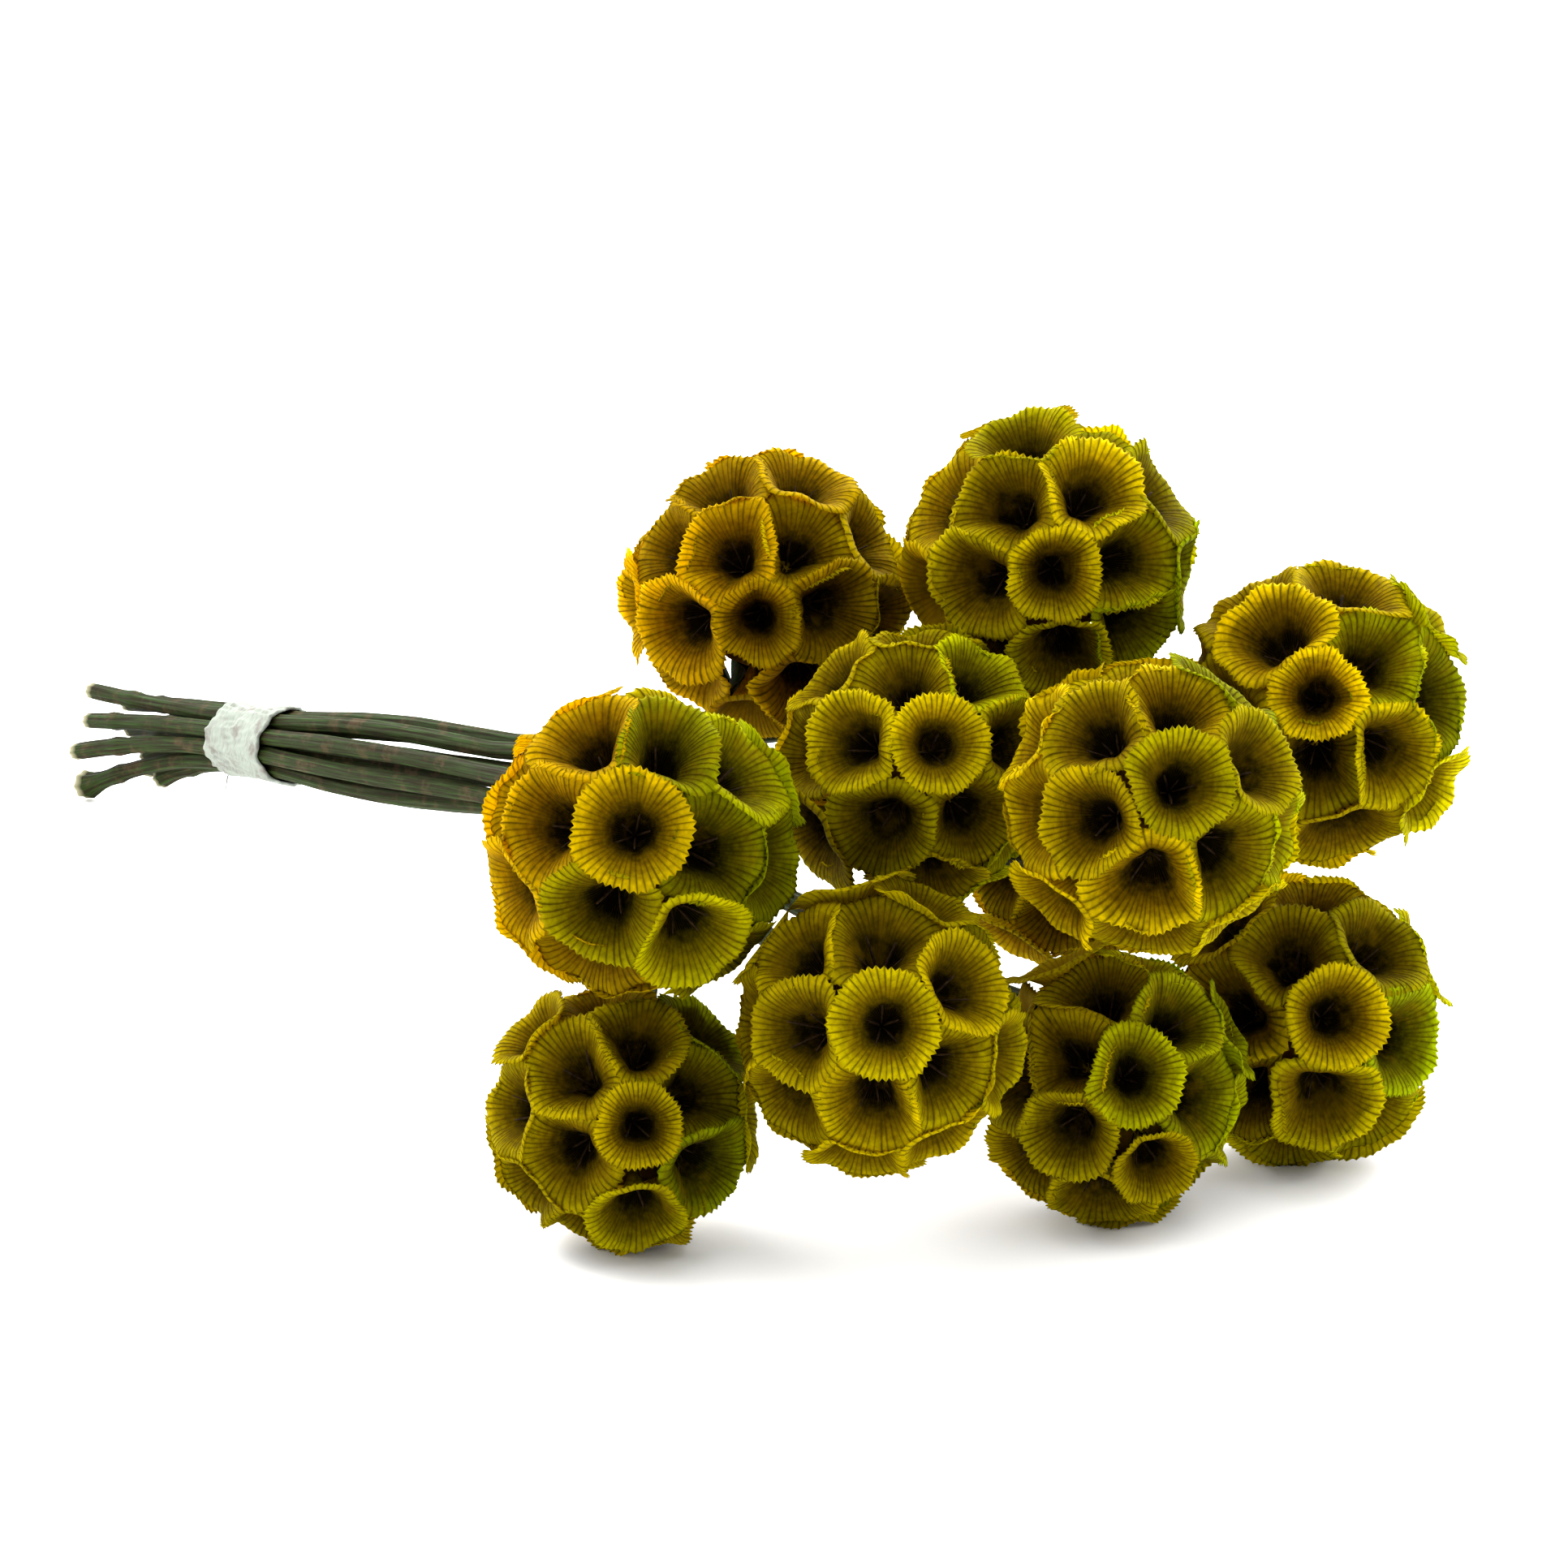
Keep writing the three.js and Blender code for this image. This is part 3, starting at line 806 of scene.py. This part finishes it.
def finish_tree(tree, geometry, given, out):
    whole = result(tree, "GeometryNodeRealizeInstances", {0: geometry})
    dressed = add(tree, "GeometryNodeSetMaterial", {0: whole, "Material": given["Material"]})
    tree.links.new(dressed.outputs[0], out[0])


def facing_rotation(tree, vector):
    return result(tree, "FunctionNodeAlignRotationToVector", {"Vector": vector}, axis="Z")


def named(tree, name, kind="FLOAT"):
    inputs = {"Name": name}
    return result(tree, "GeometryNodeInputNamedAttribute", inputs, data_type=kind)


def vector_math(tree, operation, inputs):
    return result(tree, "ShaderNodeVectorMath", inputs, operation=operation)


def random_vector(tree, low, high, seed):
    inputs = {0: low, 1: high, "Seed": seed}
    return result(tree, "FunctionNodeRandomValue", inputs, data_type="FLOAT_VECTOR")


def whorl_tree(name, spread):
    """Copies of one blade round a small circle, at each point, facing along its attribute."""
    inputs = {"Blade": "Object", "Count": "Int", "Circle Radius": "Float", "Lean": "Float",
              "Seed": "Int"}
    tree, given, out = shape_tree(name, inputs)

    def sizes():
        return random_vector(tree, (1 - spread,) * 3, (1 + spread,) * 3, given["Seed"])

    circle = result(tree, "GeometryNodeMeshCircle", {
        "Vertices": given["Count"], "Radius": given["Circle Radius"],
    })
    place = result(tree, "GeometryNodeInputPosition")
    outward = vector_math(tree, "NORMALIZE", {0: place})
    slant = vector_math(tree, "SCALE", {0: outward, "Scale": calc(tree, "SINE", given["Lean"])})
    rise = result(tree, "ShaderNodeCombineXYZ", {2: calc(tree, "COSINE", given["Lean"])})
    upright = facing_rotation(tree, vector_math(tree, "ADD", {0: slant, 1: rise}))
    front = result(tree, "FunctionNodeAlignRotationToVector", {
        "Rotation": upright, "Vector": outward,
    }, axis="X", pivot_axis="Z")
    blade = add(tree, "GeometryNodeObjectInfo", {"Object": given["Blade"]}).outputs["Geometry"]
    ring = result(tree, "GeometryNodeInstanceOnPoints", {
        "Points": circle, "Instance": blade, "Rotation": front, "Scale": sizes(),
    })
    toward = facing_rotation(tree, named(tree, "facing", "FLOAT_VECTOR"))
    spin = result(tree, "FunctionNodeEulerToRotation", {
        0: random_vector(tree, (0, 0, 0), (0.1, 0.1, 6.28), given["Seed"]),
    })
    turned = result(tree, "FunctionNodeRotateRotation", {
        0: toward, 1: spin,
    }, rotation_space="LOCAL")
    placed = result(tree, "GeometryNodeInstanceOnPoints", {
        "Points": given["Geometry"], "Instance": ring, "Rotation": turned,
        "Scale": sizes(),
    })
    finish_tree(tree, placed, given, out)
    return tree


def stalk_tree():
    """A ridged section swept along each stalk's line, as thick as its girth attribute says."""
    inputs = {"Ridges": "Int", "Ridge Depth": "Float"}
    tree, given, out = shape_tree("Ridged Stalk", inputs)
    sides = 40
    line = result(tree, "GeometryNodeMeshToCurve", {0: given["Geometry"]})
    section = result(tree, "GeometryNodeCurvePrimitiveCircle", {
        "Resolution": sides, "Radius": 1.0,
    })
    index = result(tree, "GeometryNodeInputIndex")
    turn = calc(tree, "MULTIPLY", index, 2 * math.pi / sides)
    wave = calc(tree, "COSINE", calc(tree, "MULTIPLY", turn, given["Ridges"]))
    place = result(tree, "GeometryNodeInputPosition")
    lift = calc(tree, "MULTIPLY", calc(tree, "SUBTRACT", wave, 1.0), given["Ridge Depth"])
    shift = vector_math(tree, "SCALE", {0: place, "Scale": lift})
    ridged = result(tree, "GeometryNodeSetPosition", {0: section, "Offset": shift})
    # The groove mark tells the stalk material where to paint shade into the grooves.
    marks = (("round", calc(tree, "DIVIDE", index, float(sides))),
             ("groove", calc(tree, "MULTIPLY", calc(tree, "SUBTRACT", 1.0, wave), 0.3)))
    for label, value in marks:
        ridged = result(tree, "GeometryNodeStoreNamedAttribute", {
            "Geometry": ridged, "Name": label, "Value": value,
        }, data_type="FLOAT", domain="POINT")
    swept = result(tree, "GeometryNodeCurveToMesh", {
        "Curve": line, "Profile Curve": ridged, "Scale": named(tree, "girth"), "Fill Caps": True,
    })
    smooth = result(tree, "GeometryNodeSetShadeSmooth", {0: swept})
    finish_tree(tree, smooth, given, out)
    return tree


def grow(name, points, edges, values, tree, inputs):
    """Runs a tree on points with attributes and gives the result as one plain mesh piece."""
    seed_mesh = bpy.data.meshes.new(f"{name}_seed")
    seed_mesh.from_pydata(np.asarray(points).tolist(), edges, [])
    for key, value in values.items():
        value = np.asarray(value, dtype=np.float32)
        kind, slot = ("FLOAT_VECTOR", "vector") if value.ndim == 2 else ("FLOAT", "value")
        seed_mesh.attributes.new(key, kind, "POINT").data.foreach_set(slot, value.ravel())
    seed = put(f"{name}_seed", seed_mesh)
    modifier = seed.modifiers.new("Grow", "NODES")
    modifier.node_group = tree
    for item in tree.interface.items_tree:
        if item.in_out == "INPUT" and item.name in inputs:
            modifier[item.identifier] = inputs[item.name]
    graph = bpy.context.evaluated_depsgraph_get()
    mesh = bpy.data.meshes.new_from_object(seed.evaluated_get(graph), depsgraph=graph)
    mesh.name = name
    bpy.data.objects.remove(seed)
    if not mesh.polygons:
        raise RuntimeError(f"{name} grew no faces")
    return put(name, mesh)


def blade(name, length, width, thickness, curl, rows=7):
    """A thin closed blade from the origin up Z, pointed, curling towards X."""
    skin = Skin(())
    rings = []
    for step in np.linspace(0, 0.97, rows):
        half = width / 2 * (0.35 + 1.3 * step) * (1 - step) ** 0.7 + thickness / 2
        bend = curl * step * step
        middle = np.array((bend * length, 0, step * length))
        corners = ((thickness / 2, 0), (0, half), (-thickness / 2, 0), (0, -half))
        rings.append(skin.add([middle + (x, y, 0) for x, y in corners]))
    skin.tube(rings, (0, 0, -thickness), (curl * length, 0, length))
    return skin.make(name)


# Stalks, bracts and tape


def stalk_line(head, number):
    """Points along a stalk with their thickness and the values its material reads."""
    rng = np.random.default_rng(40 + number)
    top = share_at(head, head.radius * STALK_TOP)
    ends = end_line(head, np.linspace(0, 1, 26))[:-1]
    points = np.concatenate((ends, main_line(head, np.linspace(0, top, 84))))
    steps = norm(np.diff(points, axis=0), axis=1)
    along = np.concatenate(((0.0,), np.cumsum(steps)))
    girth = 1 + 0.035 * np.sin(along * 95 + number) + 0.02 * np.sin(along * 260)
    joint = (along - rng.uniform(*JOINT_PLACE)) / JOINT_LENGTH
    girth *= 1 + JOINT_SWELL * np.exp(-(joint**2))
    girth *= 1 + (head.knob - 1) * np.exp(-((along / KNOB_LENGTH) ** 2))
    to_head = norm(points - head.centre, axis=1) / head.radius
    girth *= 1 + NECK_SWELL * (1 - np.clip((to_head - 0.6) / 0.5, 0, 1)) ** 2
    girth *= STALK_RADIUS
    values = {
        "girth": girth, "along": along, "stalk": np.full(len(points), 7.3 * number),
        "cut_face": np.clip(1 - along / CUT_LENGTH, 0, 1),
    }
    points = points - MIDDLE
    points[:, 2] = np.maximum(points[:, 2], girth + FLOOR_LIFT)
    return points, values


def tape_piece(material, sizes):
    """Crepe tape wound round the stalks: flats between them, fine creases, one loose edge."""
    rng = np.random.default_rng(9)
    turn = round_turns(TAPE_COLUMNS)
    heading = np.cos(turn)[:, None] * ACROSS + np.sin(turn)[:, None] * ABOVE
    hold = np.array([place_in_tie(head) for head in HEADS])
    outline = (hold @ heading.T + STALK_RADIUS).max(axis=0)
    for _ in range(6):
        outline = (np.roll(outline, 1) + 2 * outline + np.roll(outline, -1)) / 4
    creases = [(rng.integers(3, 40), rng.uniform(-900, 900), rng.uniform(0, 6.3),
                rng.uniform(*CREASE_HEIGHT)) for _ in range(CREASES)]
    skin = Skin(())

    def ring(offset, thickness, rough):
        crumple = sum(size * np.sin(order * turn + lean * offset + start)
                      for order, lean, start, size in creases)
        past_edge = (offset - 0.004 * np.cos(turn - 0.6)) / 0.0002
        step = OVERLAP_STEP * (1 / (1 + np.exp(-past_edge)))
        squeeze = -WAIST * math.cos(math.pi * offset / TIE_LENGTH) ** 2
        radius = outline + thickness + rough * (crumple + step) + squeeze
        ragged = 0.0006 * np.sin(3 * turn + 1) + 0.0003 * np.sin(11 * turn)
        ragged = ragged * abs(2 * offset / TIE_LENGTH) ** 3
        centre = TIE_CENTRE - MIDDLE + ALONG * (TIE_SHIFT + offset)
        return skin.add(centre + heading * radius[:, None] + ALONG * ragged[:, None])

    half = TIE_LENGTH / 2
    offsets = np.linspace(-half, half, TAPE_ROWS)
    rows = [ring(offset, sizes.tape_wall, 1.0) for offset in offsets]
    rows += [ring(offset, TAPE_INSIDE, 0.2) for offset in offsets[::-6]]
    skin.bands(rows + rows[:1])
    return skin.make("crepe_tape", material)


def wisp_piece(material):
    """The torn strand that hangs from the tape's lower edge."""
    skin = Skin(())
    start = TIE_CENTRE - MIDDLE - ALONG * 0.0004 - ABOVE * 0.0072 - ACROSS * 0.0036
    turn = round_turns(6)
    round_it = np.stack((np.cos(turn), np.sin(turn), np.zeros_like(turn)), axis=1)
    rings = []
    for step in np.linspace(1, 0, 9):
        middle = start + (0.0009 * step**2, -0.0012 * step, -0.0042 * step)
        rings.append(skin.add(middle + round_it * 0.00022 * (1 - 0.7 * step)))
    skin.tube(rings, skin.points[0].mean(axis=0), start)
    return skin.make("tape_wisp", material)


# The add-on


def number_property(name, description, default, **kind):
    return FloatProperty(name=name, description=description, default=default, **kind)


def length_property(name, description, default):
    return number_property(name, description, default, unit="LENGTH", precision=5)


class BunchSizes(bpy.types.PropertyGroup):
    membrane: length_property("Membrane", "Thickness of a cup's papery wall at its rim", 0.00011)
    tooth: length_property("Rim tooth", "How far a rib's tip stands out of the rim", 0.0003)
    pleat: length_property("Pleat", "Height of a rib over the membrane beside it", 0.00009)
    bristle_length: length_property(
        "Bristle length", "Length of the five bristles in each throat", 0.0052)
    bristle_lean: number_property(
        "Bristle lean", "How far the bristles open from the cup's middle", 0.42, subtype="ANGLE")
    ridges: IntProperty(
        name="Ridges", description="Ridges round a stalk", default=8, min=3, max=20)
    ridge_depth: number_property(
        "Ridge depth", "Depth of a stalk's grooves by its radius", 0.06, subtype="FACTOR")
    tape_wall: length_property("Tape thickness", "Thickness of the wound tape", 0.0006)


def colour_property(name, description, default):
    return FloatVectorProperty(
        name=name, description=description, default=default, subtype="COLOR", min=0, max=1)


class BunchColours(bpy.types.PropertyGroup):
    # The rim colours are partly the rims' paler tone and partly a painted glow of back light
    # through the rims.
    gold_rim: colour_property("Gold rim", "Rim of the golden heads", (0.86, 0.6, 0.0))
    gold_limb: colour_property("Gold limb", "Inside of the golden cups", (0.3, 0.165, 0.0))
    olive_rim: colour_property("Olive rim", "Rim of the olive heads", (0.88, 0.72, 0.0))
    olive_limb: colour_property("Olive limb", "Inside of the olive cups", (0.25, 0.15, 0.0))
    green_rim: colour_property("Green rim", "Rim of the greener heads", (0.84, 0.7, 0.0))
    green_limb: colour_property("Green limb", "Inside of the greener cups", (0.23, 0.15, 0.0))
    # Painted shade: the throat colour is near black to stand for the shade at the bottom of every
    # cup.
    throat: colour_property("Throat", "Bottom of every cup", (0.006, 0.004, 0.001))
    rib: colour_property("Rib", "Ribs and rim teeth", (0.07, 0.042, 0.0))
    back: colour_property("Back", "Outside of the cups near the core", (0.36, 0.22, 0.003))
    green_cast: colour_property("Green cast", "Tint of the greener cups", (0.62, 1.0, 0.5))
    stalk: colour_property("Stalk", "Stalk between its streaks", (0.019, 0.043, 0.006))
    # This colour is the dark streaks' own colour and also painted shade in the grooves.
    stalk_dark_streak_and_groove_shade: colour_property("Stalk shade", "Grooves and dry streaks", (0.013, 0.01, 0.004))
    stalk_light: colour_property("Stalk light", "Pale streaks on a stalk", (0.046, 0.088, 0.02))
    bristle: colour_property("Bristle", "Bristles in the throats", (0.012, 0.006, 0.002))
    tape: colour_property("Tape", "Crepe tape", (0.24, 0.27, 0.23))
    # This colour is the tape's grey mottling and also painted shade in its creases.
    mottle_and_crease_shade: colour_property("Crease", "Mottling and creases of the tape", (0.13, 0.11, 0.1))
    floor: colour_property("Floor", "Plain floor", (0.9, 0.9, 0.9))


class StageLight(bpy.types.PropertyGroup):
    overhead: number_property("Overhead", "Extra brightness of the surroundings overhead", 1.0)
    back: number_property("Behind", "Brightness of the surroundings behind the bunch", 3.6)
    front: number_property("Front", "Brightness of the surroundings behind the camera", 0.05)
    back_power: number_property(
        "Back light", "Soft lights over the back of the bunch", 20.0, unit="POWER")


def sizes_of(context):
    return context.scene.scabiosa_sizes


def colours_of(context):
    return context.scene.scabiosa_colours


# Each cup's direction and throat, which the heads leave for the bristles
head_throats = []


class SCABIOSA_OT_heads(bpy.types.Operator):
    """Papery cups of all the heads, each head in place of its solid"""

    bl_idname = "scabiosa.heads"
    bl_label = "Make Heads"

    def execute(self, context):
        colours = colours_of(context)
        skins = {tint: membrane_material(tint, colours) for tint in SLOTS}
        head_throats.clear()
        for number, head in enumerate(HEADS, start=1):
            piece, found = head_piece(number, head, skins[head.tint], sizes_of(context))
            settle(piece, SLOTS[head.tint], f"head_{number:02d}")
            head_throats.extend(found)
        return {"FINISHED"}


class SCABIOSA_OT_bristles(bpy.types.Operator):
    """The five dark bristles that open like a star in each cup's throat"""

    bl_idname = "scabiosa.bristles"
    bl_label = "Make Bristles"

    def execute(self, context):
        sizes = sizes_of(context)
        dark = bristle_material(colours_of(context).bristle)
        thorn = blade("bristle", sizes.bristle_length, width=0.00034, thickness=0.00026,
                      curl=0.1, rows=4)
        whorl = whorl_tree("Bristle Star", 0.25)
        facing, floors = zip(*head_throats)
        piece = grow("bristle_stars", floors, [], {"facing": facing}, whorl, {
            "Blade": thorn, "Count": 5, "Circle Radius": 0.0004, "Lean": sizes.bristle_lean,
            "Seed": 3, "Material": dark})
        bpy.data.objects.remove(thorn)
        settle(piece, "stem")
        return {"FINISHED"}


class SCABIOSA_OT_stalks(bpy.types.Operator):
    """Ridged stalks swept along their lines, each in place of its solid"""

    bl_idname = "scabiosa.stalks"
    bl_label = "Make Stalks"

    def execute(self, context):
        sizes = sizes_of(context)
        skin = stalk_material("Dry Stalk", colours_of(context), CUT_COLOUR)
        tree = stalk_tree()
        for number, head in enumerate(HEADS, start=1):
            points, values = stalk_line(head, number)
            edges = [(i, i + 1) for i in range(len(points) - 1)]
            piece = grow(f"stem_{number:02d}_stalk", points, edges, values, tree, {
                "Ridges": sizes.ridges, "Ridge Depth": sizes.ridge_depth, "Material": skin})
            settle(piece, "stem", f"stem_{number:02d}")
        return {"FINISHED"}


class SCABIOSA_OT_bracts(bpy.types.Operator):
    """The small pointed bracts that carry each head"""

    bl_idname = "scabiosa.bracts"
    bl_label = "Make Bracts"

    def execute(self, context):
        colours = colours_of(context)
        green = stalk_material("Bract Green", colours, colours.stalk)
        leaf = blade("bract", length=0.0085, width=0.0026, thickness=0.0006, curl=0.22)
        sides = [stalk_side(head) for head in HEADS]
        points = [head.centre + side * head.radius - MIDDLE for head, side in zip(HEADS, sides)]
        whorl = whorl_tree("Bract Whorl", 0.15)
        piece = grow("bracts", points, [], {"facing": np.negative(sides)}, whorl, {
            "Blade": leaf, "Count": 9, "Circle Radius": 0.0016, "Lean": 0.62, "Seed": 8,
            "Material": green})
        bpy.data.objects.remove(leaf)
        settle(piece, "stem")
        return {"FINISHED"}


class SCABIOSA_OT_tape(bpy.types.Operator):
    """Crinkled crepe tape round the stalks, with its torn strand"""

    bl_idname = "scabiosa.tape"
    bl_label = "Make Tape"

    def execute(self, context):
        colours = colours_of(context)
        crepe = tape_material(colours.tape, colours.mottle_and_crease_shade)
        settle(tape_piece(crepe, sizes_of(context)), "tape", "tie")
        settle(wisp_piece(crepe), "tape")
        return {"FINISHED"}


class SCABIOSA_OT_stage(bpy.types.Operator):
    """Plain floor, white surroundings, soft lights and the camera"""

    bl_idname = "scabiosa.stage"
    bl_label = "Make Stage"

    def execute(self, context):
        scene = context.scene
        light = scene.scabiosa_light
        mesh = bpy.data.meshes.new("floor")
        corners = FLOOR_HALF * np.array(((-1, -1, 0), (1, -1, 0), (1, 1, 0), (-1, 1, 0)))
        mesh.from_pydata(corners.tolist(), [], [(0, 1, 2, 3)])
        mesh.materials.append(floor_material(colours_of(context).floor))
        floor = put("floor", mesh)
        scene.world = surroundings(light)
        soft_light("back_right", (-0.35, 0.75, 0.65), light.back_power)
        soft_light("back_left", (-0.85, -0.25, 0.55), light.back_power * LEFT_SHARE)

        camera = bpy.data.cameras.new("camera")
        camera.lens = VIEW_LENS
        camera.sensor_width = 36
        camera.clip_start = 0.01
        scene.camera = put("camera", camera)
        scene.camera.location = EYE - MIDDLE
        scene.camera.rotation_euler = (math.pi / 2 - VIEW_DOWN, 0, VIEW_TURN)
        scene.view_settings.view_transform = "Standard"
        scene.view_settings.look = "None"
        return {"FINISHED"}


def surroundings(light):
    """A white tent: brightest overhead, then behind the bunch, and darkest behind the camera."""
    world = bpy.data.worlds.new("White Tent")
    world.use_nodes = True
    tree = world.node_tree
    heading = add(tree, "ShaderNodeTexCoord").outputs["Generated"]
    toward = (math.sin(VIEW_TURN), -math.cos(VIEW_TURN), 0)
    front = add(tree, "ShaderNodeVectorMath", {0: heading, 1: toward}, operation="DOT_PRODUCT")
    height = add(tree, "ShaderNodeSeparateXYZ", {0: heading}).outputs["Z"]
    side = ramp(tree, front.outputs["Value"], -0.1, 0.9, light.back, light.front)
    above = calc(tree, "MULTIPLY", calc(tree, "MAXIMUM", height, 0.0), light.overhead)
    tent = tree.nodes["Background"].inputs
    tent["Color"].default_value = (1, 1, 1, 1)
    tree.links.new(calc(tree, "ADD", side, above), tent["Strength"])
    return world


def soft_light(name, place, power):
    lamp = bpy.data.lights.new(name, "AREA")
    lamp.size = LIGHT_SIZE
    lamp.energy = power
    held = put(name, lamp)
    held.location = place
    aim = np.subtract(LIGHT_AIM, place)
    held.rotation_euler = (math.atan2(math.hypot(aim[0], aim[1]), -aim[2]), 0,
                           math.atan2(-aim[0], aim[1]))


OPERATORS = (SCABIOSA_OT_heads, SCABIOSA_OT_bristles, SCABIOSA_OT_stalks, SCABIOSA_OT_bracts,
             SCABIOSA_OT_tape, SCABIOSA_OT_stage)


class SCABIOSA_PT_panel(bpy.types.Panel):
    """Lists the steps that make the bunch"""

    bl_idname = "SCABIOSA_PT_panel"
    bl_label = "Scabiosa Bunch"
    bl_space_type = "VIEW_3D"
    bl_region_type = "UI"
    bl_category = "Scabiosa"

    def draw(self, context):
        for group in (sizes_of(context), colours_of(context), context.scene.scabiosa_light):
            box = self.layout.box()
            for name in group.__annotations__:
                box.prop(group, name)
        for operator in OPERATORS:
            self.layout.operator(operator.bl_idname)


CLASSES = (BunchSizes, BunchColours, StageLight, *OPERATORS, SCABIOSA_PT_panel)


def register():
    for kind in CLASSES:
        bpy.utils.register_class(kind)
    bpy.types.Scene.scabiosa_sizes = PointerProperty(type=BunchSizes)
    bpy.types.Scene.scabiosa_colours = PointerProperty(type=BunchColours)
    bpy.types.Scene.scabiosa_light = PointerProperty(type=StageLight)


def unregister():
    del bpy.types.Scene.scabiosa_light
    del bpy.types.Scene.scabiosa_colours
    del bpy.types.Scene.scabiosa_sizes
    for kind in reversed(CLASSES):
        bpy.utils.unregister_class(kind)


def main():
    register()
    bpy.ops.scabiosa.heads()
    bpy.ops.scabiosa.bristles()
    bpy.ops.scabiosa.stalks()
    bpy.ops.scabiosa.bracts()
    bpy.ops.scabiosa.tape()
    bpy.ops.scabiosa.stage()


if __name__ == "__main__":
    main()
